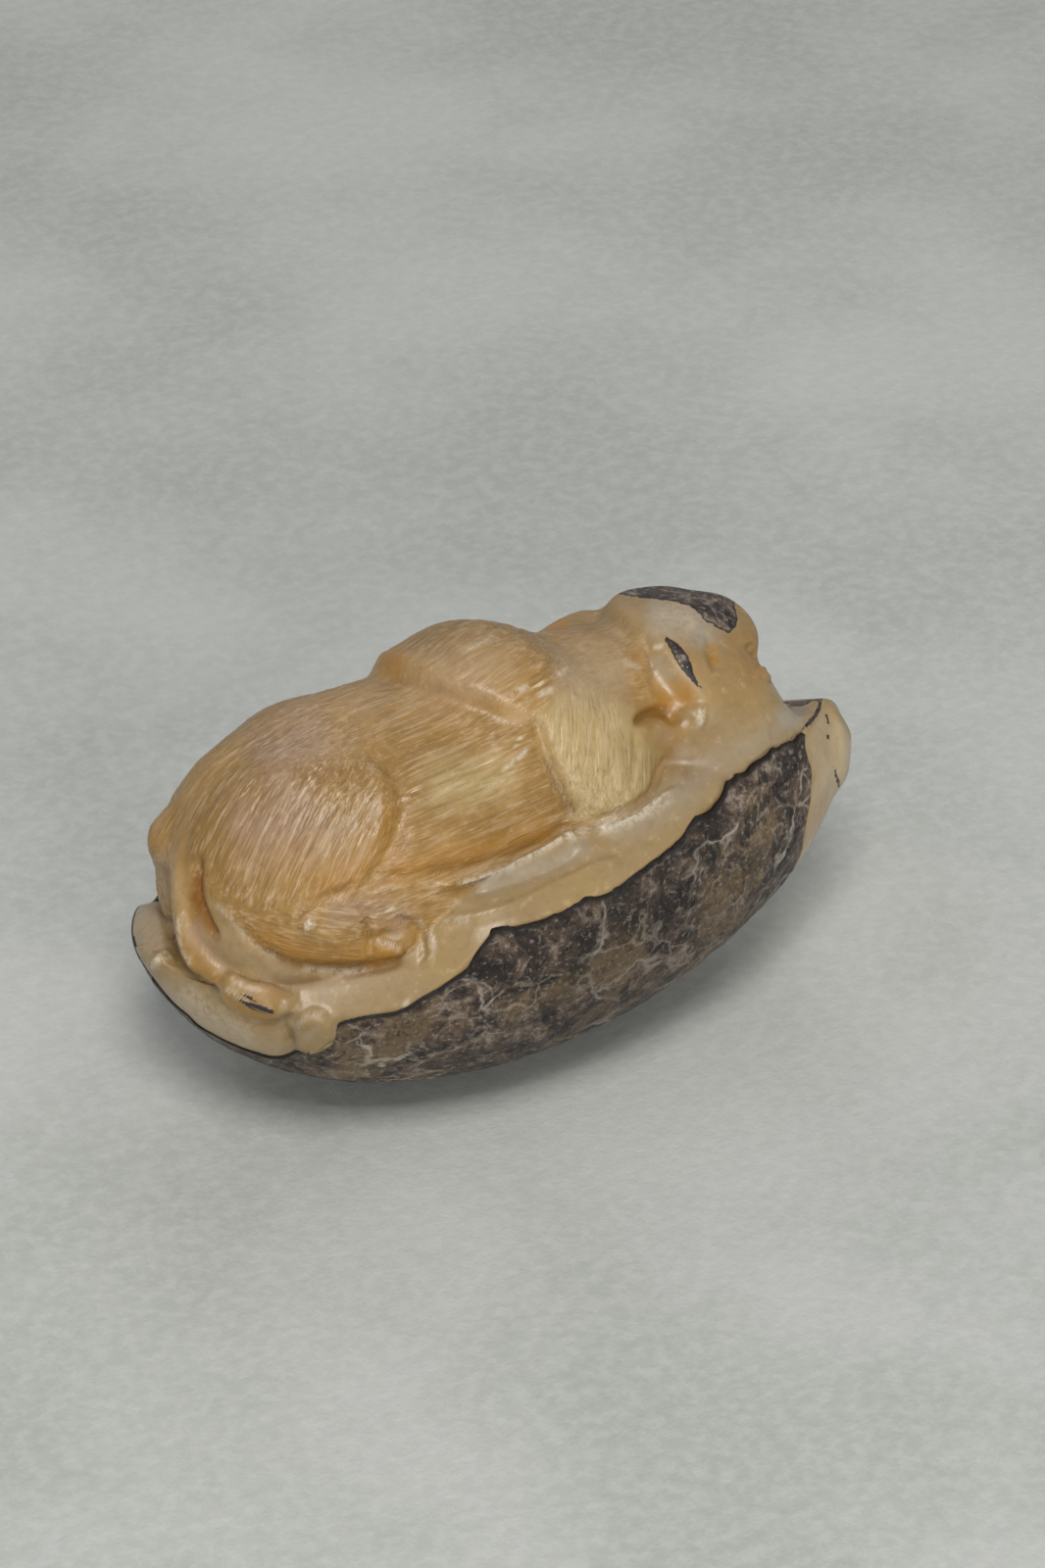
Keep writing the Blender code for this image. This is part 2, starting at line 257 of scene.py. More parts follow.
@dataclass(frozen=True)
class Outline:
    """A closed outline of straight edges on the sheet."""

    corners: tuple[tuple[float, float], ...]

    def inside(self, x: Array, y: Array) -> Array:
        """Distance to the outline, positive inside it.

        Args:
            x: Places across the sheet.
            y: Places down the sheet.

        Returns:
            One distance per place, in units of the sheet.
        """
        corners = np.array(self.corners)
        nearest = np.full(len(x), 1e9)
        within = np.zeros(len(x), dtype=bool)
        for (x0, y0), (x1, y1) in zip(corners, np.roll(corners, -1, axis=0)):
            dx, dy = x1 - x0, y1 - y0
            share = np.clip(((x - x0) * dx + (y - y0) * dy) / (dx * dx + dy * dy), 0.0, 1.0)
            nearest = np.minimum(nearest, np.hypot(x - x0 - share * dx, y - y0 - share * dy))
            crosses = (y0 > y) != (y1 > y)
            within ^= crosses & (x < x0 + (y - y0) * dx / (dy if dy else TINY))
        return np.where(within, nearest, -nearest)


@dataclass(frozen=True)
class Sheet:
    """The drawing of the near side, seen from the left and above, as the carver looks at it.

    Places on it are in sixteenths of a millimetre, X to the right and Y down.
    """

    azimuth: float = -30.0
    elevation: float = 35.0
    distance: float = 340.0
    shift: tuple[float, float] = (-1.89, -2.07)
    unit: float = 16.0
    middle: tuple[float, float] = (533.0, 800.0)
    turned_low: float = 0.10
    turned_span: float = 0.24

    def axes(self) -> tuple[Array, Array, Array]:
        """Unit vectors to the right, up the sheet, and back from the nut to the eye.

        Returns:
            The three vectors.
        """
        azimuth, elevation = math.radians(self.azimuth), math.radians(self.elevation)
        level = math.cos(elevation)
        back = np.array([math.sin(azimuth) * level, -math.cos(azimuth) * level, math.sin(elevation)])
        right = np.array([math.cos(azimuth), math.sin(azimuth), 0.0])
        return right, np.cross(back, right), back

    def place(self, points: Array) -> tuple[Array, Array, Array]:
        """Where points fall on the sheet, and how far they stand towards the eye in millimetres.

        Args:
            points: Places in millimetres, one per row.

        Returns:
            Places across and down the sheet, and the heights towards the eye.
        """
        right, up, back = self.axes()
        depth = points @ back
        scale = self.unit * self.distance / (self.distance - depth)
        x = self.middle[0] + scale * (points @ right + self.shift[0])
        y = self.middle[1] - scale * (points @ up + self.shift[1])
        return x, y, depth

    def facing(self, normals: Array) -> Array:
        """How far each normal turns to the eye, from 0 at the side to 1."""
        return smooth_step(normals @ self.axes()[2] - self.turned_low, self.turned_span)


SHEET = Sheet()


@dataclass(frozen=True)
class Groove:
    """A cut along a line on the sheet, or a ridge where its depth is negative.

    Its depth falls off as (1 - distance / width) ** power on each side, and over a taper at the ends.
    Going along the line, the right-hand side has the first width and the left-hand side the second.
    """

    line: tuple[tuple[float, float], ...]
    depth: float
    widths: tuple[float, float]
    power: float = 1.6
    taper: float = 0.8
    towards_eye: float = -4.0

    def path(self) -> Array:
        """Points on the smooth path through the line's places."""
        return smooth_path(np.array(self.line, dtype=float), 4)

    def share(self, x: Array, y: Array, depth: Array) -> Array:
        """How strongly the groove acts at each place of the sheet, from 0 to 1.

        Args:
            x: Places across the sheet.
            y: Places down the sheet.
            depth: Heights towards the eye, in millimetres.

        Returns:
            One share per place.
        """
        path = self.path()
        spare = max(self.widths) * SHEET.unit
        low, high = path.min(axis=0) - spare, path.max(axis=0) + spare
        close = (x > low[0]) & (x < high[0]) & (y > low[1]) & (y < high[1]) & (depth > self.towards_eye)
        px, py = x[close], y[close]
        nearest, side, travelled = np.full(len(px), 1e9), np.zeros(len(px)), np.zeros(len(px))
        length = 0.0
        for (x0, y0), (x1, y1) in zip(path, path[1:]):
            dx, dy = x1 - x0, y1 - y0
            span = math.hypot(dx, dy)
            along = np.clip(((px - x0) * dx + (py - y0) * dy) / (span * span), 0.0, 1.0)
            gap = np.hypot(px - x0 - along * dx, py - y0 - along * dy)
            closer = gap < nearest
            nearest = np.where(closer, gap, nearest)
            side = np.where(closer, dx * (py - y0) - dy * (px - x0), side)
            travelled = np.where(closer, length + along * span, travelled)
            length += span
        width = np.where(side > 0.0, *self.widths) * SHEET.unit
        profile = np.clip(1.0 - nearest / width, 0.0, 1.0) ** self.power
        ends = smooth_clip(np.minimum(travelled, length - travelled) / (self.taper * SHEET.unit), 0.0, 1.0)
        result = np.zeros(len(x))
        result[close] = profile * ends * np.clip(depth[close] - self.towards_eye, 0.0, 1.0)
        return result


# Forms of the carving
@dataclass(frozen=True)
class Nut:
    """The whole nut: an egg whose radius is R * sqrt(1 - s * s) * (1 - taper * s), s = x / half-length."""

    length: float = 50.2
    width: float = 30.2
    taper: float = 0.11

    def radius(self, x: Array) -> Array:
        """Radius at a place along the nut."""
        share = np.clip(x / (0.5 * self.length), -1.0, 1.0)
        return 0.5 * self.width * np.sqrt(1.0 - share ** 2) * (1.0 - self.taper * share)

    def distance(self, points: Array) -> Array:
        """Distance to the outside of the nut.

        Args:
            points: Places in millimetres, one per row.

        Returns:
            One distance per point, in millimetres.
        """
        half_length = 0.5 * self.length
        width = 0.5 * self.width * (1.0 - self.taper * points[:, 0] / half_length)
        reach = np.stack([np.full_like(width, half_length), width, width], axis=1)
        near = np.linalg.norm(points / reach, axis=1)
        far = np.linalg.norm(points / (reach * reach), axis=1) + TINY
        return near * (near - 1.0) / far

    def half_breadth(self, x: Array, height: Array) -> Array:
        """Half the breadth at a place along the nut and a height."""
        return np.sqrt(np.clip(self.radius(x) ** 2 - height ** 2, 0.0, None))


@dataclass(frozen=True)
class ShellEdge:
    """Where the dark shell ends: its height on each side, station by station, and its pointed end."""

    near: Profile = Profile((
        (-24.5, -3.8), (-24.1, -4.5), (-23.5, -5.1), (-22.9, -5.9), (-22.2, -6.3), (-20.7, -6.7),
        (-19.8, -6.7),
        (-19.4, -6.2), (-19.1, -5.2), (-18.6, -5.3), (-18.1, -5.0), (-17.8, -4.2), (-17.6, -3.0),
        (-17.4, -2.5),
        (-17.1, -2.3), (-15.6, -1.8), (-13.9, -1.5), (-12.7, -0.7), (-11.7, -0.1), (-11.0, 0.3),
        (-10.4, 0.7),
        (-9.9, 1.0), (-9.5, 1.7), (-8.8, 2.5), (-8.4, 2.9), (-7.7, 3.1), (-6.5, 3.1), (-3.1, 3.2),
        (-1.7, 3.4),
        (-0.3, 3.3), (1.3, 3.6), (2.9, 4.0), (4.5, 4.3), (6.2, 4.8), (7.0, 5.1), (8.9, 5.3), (9.7, 5.6),
        (10.3, 6.0), (11.2, 6.1), (11.9, 5.9), (12.8, 6.0), (14.7, 6.0), (16.0, 5.6), (17.0, 5.4),
        (18.0, 5.2),
        (25.0, 4.6),
    ))
    far: Profile = Profile((
        (-26.0, -3.4), (-23.5, -3.4), (-22.0, -3.7), (-20.0, -4.8), (-17.0, -3.8), (-12.0, -1.2),
        (-4.0, -0.1),
        (0.0, -0.1), (2.0, -0.5), (4.0, -1.05), (6.0, -1.6), (8.0, -2.1), (10.0, -2.5), (12.0, -2.85),
        (18.0, -2.85), (25.0, -3.0),
    ))
    # Place along the nut where the shell ends, by the angle round from straight down, near side positive
    end: Profile = Profile((
        (-130.0, 19.0), (-80.0, 18.4), (-40.0, 17.8), (0.0, 17.3), (40.0, 17.2), (70.0, 17.3), (87.0, 17.3),
        (97.0, 17.8), (105.0, 18.1), (121.0, 18.2), (124.5, 18.7), (127.0, 19.8), (130.0, 20.7),
        (134.0, 21.4),
        (180.0, 21.6),
    ))
    thickness: float = 0.30
    peeled_depth: float = 0.06

    def covered(self, points: Array) -> Array:
        """How far inside the shell's bounds a point lies, positive where the shell covers it.

        Args:
            points: Places in millimetres, one per row.

        Returns:
            One distance per point, in millimetres.
        """
        x, y, z = points.T
        side = smooth_step(y, 4.0)
        height = self.near.at(x) * (1.0 - side) + self.far.at(x) * side
        angle = np.degrees(np.arctan2(-y, -z))
        return np.minimum(height - z, self.end.at(angle) - x)

    def depth(self, points: Array) -> Array:
        """How far the ivory lies below the outside of the nut."""
        return self.peeled_depth + (self.thickness - self.peeled_depth) * smooth_step(
            self.covered(points) - 0.05, 0.5)


@dataclass(frozen=True)
class Ledge:
    """The ledge cut round the animal, from the shell edge up to its foot."""

    nut: Nut
    near: Profile = Profile((
        (-26.0, -1.6), (-21.0, -1.2), (-18.5, -1.8), (-15.5, -1.7), (-12.0, -0.3), (-9.0, 2.2), (-7.5, 2.9),
        (-5.0, 3.1), (0.0, 3.3), (5.0, 4.4), (9.0, 5.3), (13.0, 6.0), (17.0, 5.4), (25.0, 4.6),
    ))
    far: Profile = Profile((
        (-26.0, -3.4), (-23.5, -3.4), (-22.0, -3.7), (-20.0, -4.8), (-17.0, -3.8), (-12.0, -1.2),
        (0.0, 0.0),
        (12.0, -0.6), (19.0, -2.4), (25.0, -3.0),
    ))
    rise: Profile = Profile((
        (-26.0, 0.6), (-20.0, 2.4), (-12.0, 3.0), (0.0, 3.2), (7.0, 3.2), (12.0, 3.0), (15.5, 1.8),
        (18.0, 0.4),
        (25.0, 0.1),
    ))
    slope: Profile = Profile((
        (-26.0, 0.9), (-20.0, 1.0), (-17.0, 1.25), (-12.0, 1.25), (-8.0, 0.95), (4.0, 0.9), (10.0, 0.62),
        (25.0, 0.5),
    ))
    # Slope up from the far edge, and the share of a height that counts as a distance
    far_slope: float = 0.6
    height_share: float = 0.75
    end_breadth: float = 3.0
    end_cuts: tuple[tuple[Vec, float], ...] = (((0.30, 0.50, 0.81), 7.6), ((0.87, -0.11, 0.48), 22.0))

    def distance(self, points: Array) -> Array:
        """Height above the ledge, as a field.

        The ledge climbs by rise * tanh(distance from the shell edge / rise) from a line between the near
        and the far shell edge, and is cut off by the planes at the pointed end.

        Args:
            points: Places in millimetres, one per row.

        Returns:
            One value per point, negative below the ledge.
        """
        x, y, z = points.T
        near, far, rise, slope = self.near.at(x), self.far.at(x), self.rise.at(x), self.slope.at(x)
        near_breadth = np.maximum(self.nut.half_breadth(x, near), self.end_breadth)
        far_breadth = np.maximum(self.nut.half_breadth(x, far), self.end_breadth)
        from_near = np.clip(near_breadth + y, 0.0, None)
        from_far = np.clip(far_breadth - y, 0.0, None)
        crossing = from_near / (near_breadth + far_breadth)
        gain = rise * np.minimum(np.tanh(slope * from_near / rise), np.tanh(self.far_slope * from_far / rise))
        surface = self.height_share * (z - (near + (far - near) * crossing + gain))
        for direction, distance in self.end_cuts:
            surface = trim(surface, points @ np.array(direction) - distance, SMALL_JOIN)
        return surface


@dataclass(frozen=True)
class Body:
    """Barrel, hump with its mane, chest and hindquarters with the folded leg."""

    barrel: Lump = Lump((-8.9, -1.8, 3.2), (14.4, 9.9, 9.2), (0, -3, 0))
    masses: tuple[Lump, ...] = (
        Lump((-16.4, 0.8, 2.0), (6.2, 6.4, 8.2), (0, 16, 0)),
        Lump((-12.8, 2.0, 3.0), (4.0, 5.6, 7.8)),
        Lump((-0.7, -1.2, 4.8), (7.8, 8.6, 9.1), (0, 6, 0)),
        Lump((3.0, -5.0, 5.0), (4.8, 6.0, 5.5)),
        Lump((2.4, 3.4, 3.6), (4.6, 5.8, 5.4)),
    )
    neck: Lump = Lump((6.4, -1.5, 6.8), (5.6, 6.2, 5.2))
    thigh: Lump = Lump((-16.6, -4.4, 4.4), (6.6, 6.0, 7.4), (0, 30, 0))
    knee: Lump = Lump((-12.6, -6.0, 8.0), (3.2, 3.0, 3.2), (0, 30, 0))
    rump_point: Lump = Lump((-21.4, 2.4, 4.3), (1.6, 1.9, 1.6))
    shanks: tuple[Limb, ...] = (
        Limb(((-20.7, -6.0, 2.8, 1.7), (-18.3, -7.8, 2.1, 1.6), (-15.4, -9.8, 1.8, 1.4))),
        Limb(((-19.6, 5.4, 0.6, 1.7), (-15.8, 7.4, 0.2, 1.7), (-12.0, 8.2, 0.4, 1.3))),
    )
    claws: tuple[Lump, ...] = (
        Lump((-13.6, -10.4, 2.1), (2.0, 1.3, 1.0), (0, 0, -20)),
    )
    mane_edge: Profile = Profile((
        (-12.5, 3.0), (-11.3, 1.4), (-10.4, 0.2), (-9.2, -0.6), (-8.0, -1.0), (-7.2, -1.1),
        (-6.6, -2.0), (-4.7, -4.0), (-2.2, -5.6), (1.0, -6.4), (4.0, -6.4), (8.0, -4.6),
    ))
    mane_step_top: float = 0.95
    mane_step_side: float = 0.35
    mane_reach: float = 7.0

    def mane_lift(self, points: Array) -> Array:
        """How far the mane stands above the barrel behind it, in a step along its rear edge.

        Args:
            points: Places in millimetres, one per row.

        Returns:
            One height per point, in millimetres.
        """
        x, y = points[:, 0], points[:, 1]
        ahead = x - self.mane_edge.at(y)
        on_top = smooth_step(y + 5.5, 5.0)
        height = self.mane_step_side + (self.mane_step_top - self.mane_step_side) * on_top
        step = smooth_step(ahead - 0.35, 1.3) * smooth_step(self.mane_reach - ahead, self.mane_reach)
        return height * step

    def distance(self, points: Array) -> Array:
        """Distance to the body without the head.

        Args:
            points: Places in millimetres, one per row.

        Returns:
            One distance per point, in millimetres.
        """
        surface = self.barrel.distance(points)
        for lump in self.masses:
            surface = blend(surface, lump.distance(points), BROAD_JOIN)
        surface = blend(surface, self.neck.distance(points), BROAD_JOIN) - self.mane_lift(points)
        thigh = blend(self.thigh.distance(points), self.knee.distance(points), BROAD_JOIN)
        surface = blend(surface, thigh, BROAD_JOIN)
        surface = blend(surface, self.rump_point.distance(points), FULL_JOIN)
        for shank in self.shanks:
            surface = blend(surface, shank.distance(points), SMALL_JOIN)
        for claw in self.claws:
            surface = blend(surface, claw.distance(points), TIGHT_JOIN)
        return surface


@dataclass(frozen=True)
class Head:
    """Head with cheek, muzzle and brow, the far horn, and the hollow and mound under the near ear."""

    skull: Lump = Lump((12.6, -1.2, 6.6), (5.0, 6.8, 7.2))
    cheek: Lump = Lump((14.0, -4.6, 5.2), (3.0, 3.6, 3.6), (0, 20, 0))
    muzzle: Lump = Lump((16.4, -3.4, 6.2), (1.5, 1.9, 1.5))
    brow: Lump = Lump((16.1, -1.0, 9.8), (2.6, 3.0, 2.6))
    far_horn: Limb = Limb(((9.0, 3.8, 8.6, 1.7), (7.3, 3.5, 9.2, 1.25), (6.0, 3.1, 9.3, 0.9)))
    throat_hollow: Lump = Lump((7.9, -9.4, 9.9), (2.0, 1.9, 1.9))
    mound: Lump = Lump((8.8, -6.9, 7.2), (1.9, 1.7, 1.5))

    def distance(self, points: Array) -> Array:
        """Distance to the solid head, before its hollows.

        Args:
            points: Places in millimetres, one per row.

        Returns:
            One distance per point, in millimetres.
        """
        surface = self.skull.distance(points)
        surface = blend(surface, self.cheek.distance(points), BROAD_JOIN)
        surface = blend(surface, self.muzzle.distance(points), FULL_JOIN)
        surface = blend(surface, self.brow.distance(points), FULL_JOIN)
        return blend(surface, self.far_horn.distance(points), FULL_JOIN)

    def hollowed(self, animal: Array, points: Array) -> Array:
        """The animal with the throat cut in under the ear, and the mound in it."""
        animal = trim(animal, -self.throat_hollow.distance(points), TIGHT_JOIN)
        return blend(animal, self.mound.distance(points), FULL_JOIN)


@dataclass(frozen=True)
class Tail:
    """Tail round the left end, and its tuft."""

    tail: Limb = Limb((
        (-21.9, -0.9, 6.0, 0.75), (-22.7, -1.9, 4.6, 0.9), (-23.1, -2.8, 3.2, 1.0),
        (-23.2, -3.8, 1.5, 1.15), (-22.9, -5.0, 0.3, 1.2), (-22.2, -6.4, -0.4, 1.05),
    ))
    tuft: Lump = Lump((-20.9, -7.6, -1.2), (2.3, 1.3, 1.2), (0, 18, -38))
    proud: float = 0.15

    def distance(self, points: Array) -> Array:
        """Distance to the tail with its tuft."""
        return blend(self.tail.distance(points), self.tuft.distance(points), SMALL_JOIN)


@dataclass(frozen=True)
class Hilum:
    """The cream boss without shell at the pointed end."""

    boss: Lump = Lump((20.2, -2.2, 0.6), (5.0, 5.2, 5.2))
    proud: float = 0.5

    def distance(self, points: Array) -> Array:
        """Distance to the boss."""
        return self.boss.distance(points)


@dataclass(frozen=True)
class Carving:
    """The carved ivory: ledge, animal, hilum end and tail, as one field."""

    nut: Nut = Nut()
    edge: ShellEdge = ShellEdge()
    ledge: Ledge = Ledge(Nut())
    body: Body = Body()
    head: Head = Head()
    tail: Tail = Tail()
    hilum: Hilum = Hilum()
    # Place, height and reach of each swell or dip of the nut at the crown
    swells: tuple[tuple[Vec, float, float], ...] = (
        ((17.2, 0.6, 10.4), 0.8, 4.0),
        ((7.0, 3.0, 13.4), -1.3, 4.5),
    )
    # Join of the face to the ledge: how much wider it gets, from where, and over what length
    face_fillet: float = 3.4
    face_start: float = 9.2
    face_run: float = 4.5
    # Where along the nut the foot of the cheek starts and ends, and how much more it is rounded
    cheek_span: tuple[float, float] = (7.5, 14.0)
    cheek_join: float = 0.8

    def animal(self, points: Array) -> Array:
        """Distance to the animal without its tail."""
        animal = blend(self.body.distance(points), self.head.distance(points), FULL_JOIN)
        return self.head.hollowed(animal, points)

    def swell(self, points: Array) -> Array:
        """How far the nut bulges beyond the plain egg: height * exp(-(gap / reach) ** 2) for each swell.

        Args:
            points: Places in millimetres, one per row.

        Returns:
            One height per point, in millimetres.
        """
        total = np.zeros(len(points))
        for place, height, reach in self.swells:
            total += height * bell(np.linalg.norm(points - np.array(place), axis=1), reach)
        return total

    def distance(self, points: Array) -> Array:
        """Distance to the ivory, negative inside.

        Args:
            points: Places in millimetres, one per row.

        Returns:
            One distance per point, in millimetres.
        """
        nut = self.nut.distance(points) - self.swell(points)
        core = nut + self.edge.depth(points)
        animal = self.animal(points)
        ledge = self.ledge.distance(points)
        x = points[:, 0]
        fillet = TIGHT_JOIN + self.face_fillet * smooth_step(x - self.face_start, self.face_run)
        surface = blend(trim(core, ledge, CRISP_JOIN), trim(animal, core, FULL_JOIN), fillet)
        cheek_foot = smooth_step(x - self.cheek_span[0], 2.0) * smooth_step(self.cheek_span[1] - x, 3.0)
        surface = trim(surface, core, CRISP_JOIN + self.cheek_join * cheek_foot)
        boss = trim(self.hilum.distance(points), ledge, SMALL_JOIN)
        surface = blend(surface, trim(boss, nut - self.hilum.proud, TIGHT_JOIN), SMALL_JOIN)
        tail = trim(self.tail.distance(points), nut - self.tail.proud, TIGHT_JOIN)
        return blend(surface, tail, TIGHT_JOIN)


@dataclass(frozen=True)
class Facet:
    """A patch inside an outline on the sheet that is raised, or sunk where its height is negative."""

    outline: Outline
    height: float
    edge: float = 0.35

    def share(self, x: Array, y: Array) -> Array:
        """How strongly the patch acts at each place of the sheet, from 0 to 1."""
        return np.clip(self.outline.inside(x, y) / (self.edge * SHEET.unit) + 0.5, 0.0, 1.0)


@dataclass(frozen=True)
class Relief:
    """Cuts, ridges and patches that are drawn on the sheet and pressed into the near side."""

    thigh: tuple[Groove, ...] = (
        Groove(((366, 752), (374, 766), (392, 777), (405, 794), (411, 818), (407, 845), (394, 874),
                (374, 902), (350, 924)),
               0.38, (0.9, 1.6), 1.6, 3.0),
        Groove(((356, 770), (374, 784), (387, 800), (392, 820), (388, 843), (376, 868), (356, 894)),
               -0.25, (1.6, 1.1), 1.4, 3.0),
    )
    belly: tuple[Groove, ...] = (
        Groove(((372, 898), (400, 897), (420, 896), (440, 893), (460, 890), (480, 887), (500, 881),
                (520, 876), (540, 868),
                (560, 857), (572, 848), (586, 840)), 0.34, (0.45, 0.9), 1.5, 0.8),
    )
    mane: tuple[Groove, ...] = (
        Groove(((374, 694), (400, 693), (430, 698), (455, 705), (475, 715), (492, 722), (515, 729)),
               0.18, (0.9, 0.5), 1.5, 1.2),
    )
    chest: tuple[Groove, ...] = (
        Groove(((546, 728), (552, 748), (558, 770), (565, 788), (573, 806), (581, 822), (590, 838)),
                0.48, (0.8, 0.5), 1.6, 0.9),
        Groove(((648, 742), (650, 765), (648, 785), (645, 802)), 0.28, (0.40, 0.40), 1.5, 0.7),
        Groove(((673, 778), (670, 797), (660, 812), (645, 822), (625, 832), (604, 838)),
                0.20, (0.45, 0.40), 1.5, 0.7),
    )
    ledge: tuple[Groove, ...] = (
        Groove(((440, 904), (465, 900), (500, 892), (520, 884), (540, 874), (560, 864), (575, 855),
                (592, 846)),
               -0.36, (0.50, 0.40), 1.2, 1.0),
        Groove(((598, 843), (620, 841), (640, 836), (655, 828), (670, 818), (685, 808), (700, 802)),
                -0.34, (0.9, 0.4), 1.3, 1.0),
        Groove(((470, 915), (500, 906), (540, 893), (570, 881), (598, 864)), 0.40, (1.0, 0.8), 1.5, 1.3),
        Groove(((445, 939), (480, 934), (500, 929), (520, 923), (540, 915), (560, 905), (590, 891),
                (610, 881), (640, 876)),
               -0.26, (0.8, 0.35), 1.2, 1.0),
    )
    head: tuple[Groove, ...] = (
        Groove(((657, 640), (658, 655), (662, 672), (666, 690), (672, 705), (675, 716)), 0.28, (0.60, 1.4),
                1.3, 1.0),
        Groove(((649, 745), (653, 733), (662, 727), (672, 725), (681, 727), (687, 733), (692, 742)),
                0.50, (0.90, 0.55), 1.5, 0.8),
        Groove(((764, 655), (770, 665), (778, 672)), 0.40, (0.6, 0.5), 1.5, 0.3),
        Groove(((772, 680), (780, 686), (787, 696)), -0.30, (0.7, 0.6), 1.5, 0.4),
        Groove(((700, 745), (730, 741), (755, 745)), 0.16, (0.9, 0.9), 1.5, 1.0),
    )
    hoof: tuple[Groove, ...] = (
        Groove(((240, 945), (256, 963), (276, 977), (300, 987), (330, 992), (360, 992), (395, 986),
                (414, 979)),
               0.46, (0.40, 0.9), 1.4, 0.8),
        Groove(((216, 920), (232, 933), (241, 946), (252, 957), (266, 969), (284, 979), (305, 987),
                (335, 992), (382, 990)),
               -0.20, (0.5, 0.3), 1.2, 0.8),
        Groove(((300, 932), (320, 922), (345, 913), (362, 902)), 0.26, (0.40, 0.70), 1.4, 0.6),
        Groove(((375, 936), (376, 948), (379, 961), (382, 972)), 0.42, (0.45, 0.35), 1.2, 0.3),
        Groove(((384, 953), (398, 956), (411, 962), (419, 967)), 0.40, (0.35, 0.45), 1.2, 0.3),
        Groove(((402, 936), (418, 941), (427, 951), (432, 965), (432, 982)), 0.32, (0.35, 0.35), 1.2, 0.4),
        Groove(((410, 930), (425, 936), (434, 948), (439, 963), (439, 981)), -0.22, (0.35, 0.35), 1.2, 0.4),
        Groove(((362, 921), (372, 931), (377, 941)), 0.18, (0.24, 0.24), 1.2, 0.3),
        Groove(((300, 940), (316, 947), (334, 955), (352, 968)), -0.20, (0.6, 0.6), 1.3, 0.8),
    )
    tail: tuple[Groove, ...] = (
        Groove(((203, 871), (202, 890), (201, 905), (206, 925), (214, 943), (224, 962)),
               0.50, (0.75, 0.35), 1.3, 0.8),
        Groove(((167, 878), (168, 905), (170, 935), (175, 962), (188, 987), (206, 1004), (226, 1014)),
               0.62, (1.7, 0.40), 1.5, 0.9),
        Groove(((183, 925), (184, 945), (188, 966), (196, 984), (207, 993)), -0.30, (0.40, 0.55), 1.2, 0.7),
        Groove(((216, 1006), (223, 998), (232, 988)), 0.20, (0.35, 0.35), 1.3, 0.4),
        Groove(((230, 1003), (245, 1012), (262, 1021), (285, 1029)), -0.26, (0.35, 0.30), 1.2, 0.5),
        Groove(((226, 1018), (235, 1030), (250, 1038), (264, 1042), (284, 1042), (299, 1033)),
                0.42, (0.55, 0.35), 1.4, 0.6),
        Groove(((236, 1007), (250, 1014), (266, 1022)), 0.12, (0.20, 0.20), 1.2, 0.4),
        Groove(((153, 990), (160, 980), (173, 966)), -0.36, (0.45, 0.55), 1.2, 0.4),
        Groove(((299, 1003), (301, 1020), (304, 1032)), -0.18, (0.35, 0.30), 1.3, 0.4),
        Groove(((286, 1044), (293, 1055), (298, 1068)), 0.40, (0.35, 0.45), 1.3, 0.4),
    )
    facets: tuple[Facet, ...] = (
        Facet(Outline(((693, 731), (700, 724), (712, 719), (718, 721), (719, 733), (714, 743), (703, 742),
                       (694, 737))), 0.24, 0.5),
        Facet(Outline(((711, 720), (718, 720), (719, 733), (714, 743), (709, 742), (712, 730))), 0.10, 0.4),
        Facet(Outline(((722, 650), (727, 652), (731, 664), (735, 682), (728, 685), (722, 671),
                       (720, 659))), -0.26, 0.45),
        Facet(Outline(((301, 1062), (302, 1048), (307, 1036), (319, 1031), (331, 1035), (339, 1042),
                       (341, 1050), (337, 1062),
                       (328, 1070), (314, 1072), (305, 1068))), 0.50, 0.45),
        Facet(Outline(((228, 1000), (237, 989), (262, 992), (285, 1009), (299, 1020), (297, 1030),
                       (282, 1038), (262, 1037),
                       (247, 1034), (232, 1026), (226, 1014))), 0.42, 0.45),
        Facet(Outline(((452, 938), (480, 934), (478, 950), (458, 953))), -0.14, 0.9),
        Facet(Outline(((379, 944), (395, 941), (410, 943), (419, 953), (421, 963), (408, 964), (394, 958),
                       (380, 956))), 0.14, 0.45),
        Facet(Outline(((380, 960), (395, 963), (408, 968), (419, 974), (405, 979), (380, 981))),
                       0.26, 0.40),
        Facet(Outline(((307, 938), (317, 935), (322, 942), (318, 950), (309, 948))), 0.22, 0.6),
    )

    def depth(self, points: Array) -> Array:
        """How deep the relief goes in at each point, negative where it stands out.

        Args:
            points: Places in millimetres, one per row.

        Returns:
            One depth per point, in millimetres.
        """
        x, y, towards = SHEET.place(points)
        total = np.zeros(len(points))
        for groove in (
            *self.thigh, *self.mane, *self.belly, *self.chest, *self.ledge, *self.head, *self.hoof,
            *self.tail,
        ):
            total += groove.depth * groove.share(x, y, towards)
        for facet in self.facets:
            total -= facet.height * facet.share(x, y)
        return total


# Skin of points
@dataclass(frozen=True)
class Guide:
    """One guide stroke of the coat: a place and the direction that the cuts run there."""

    place: Vec
    direction: Vec


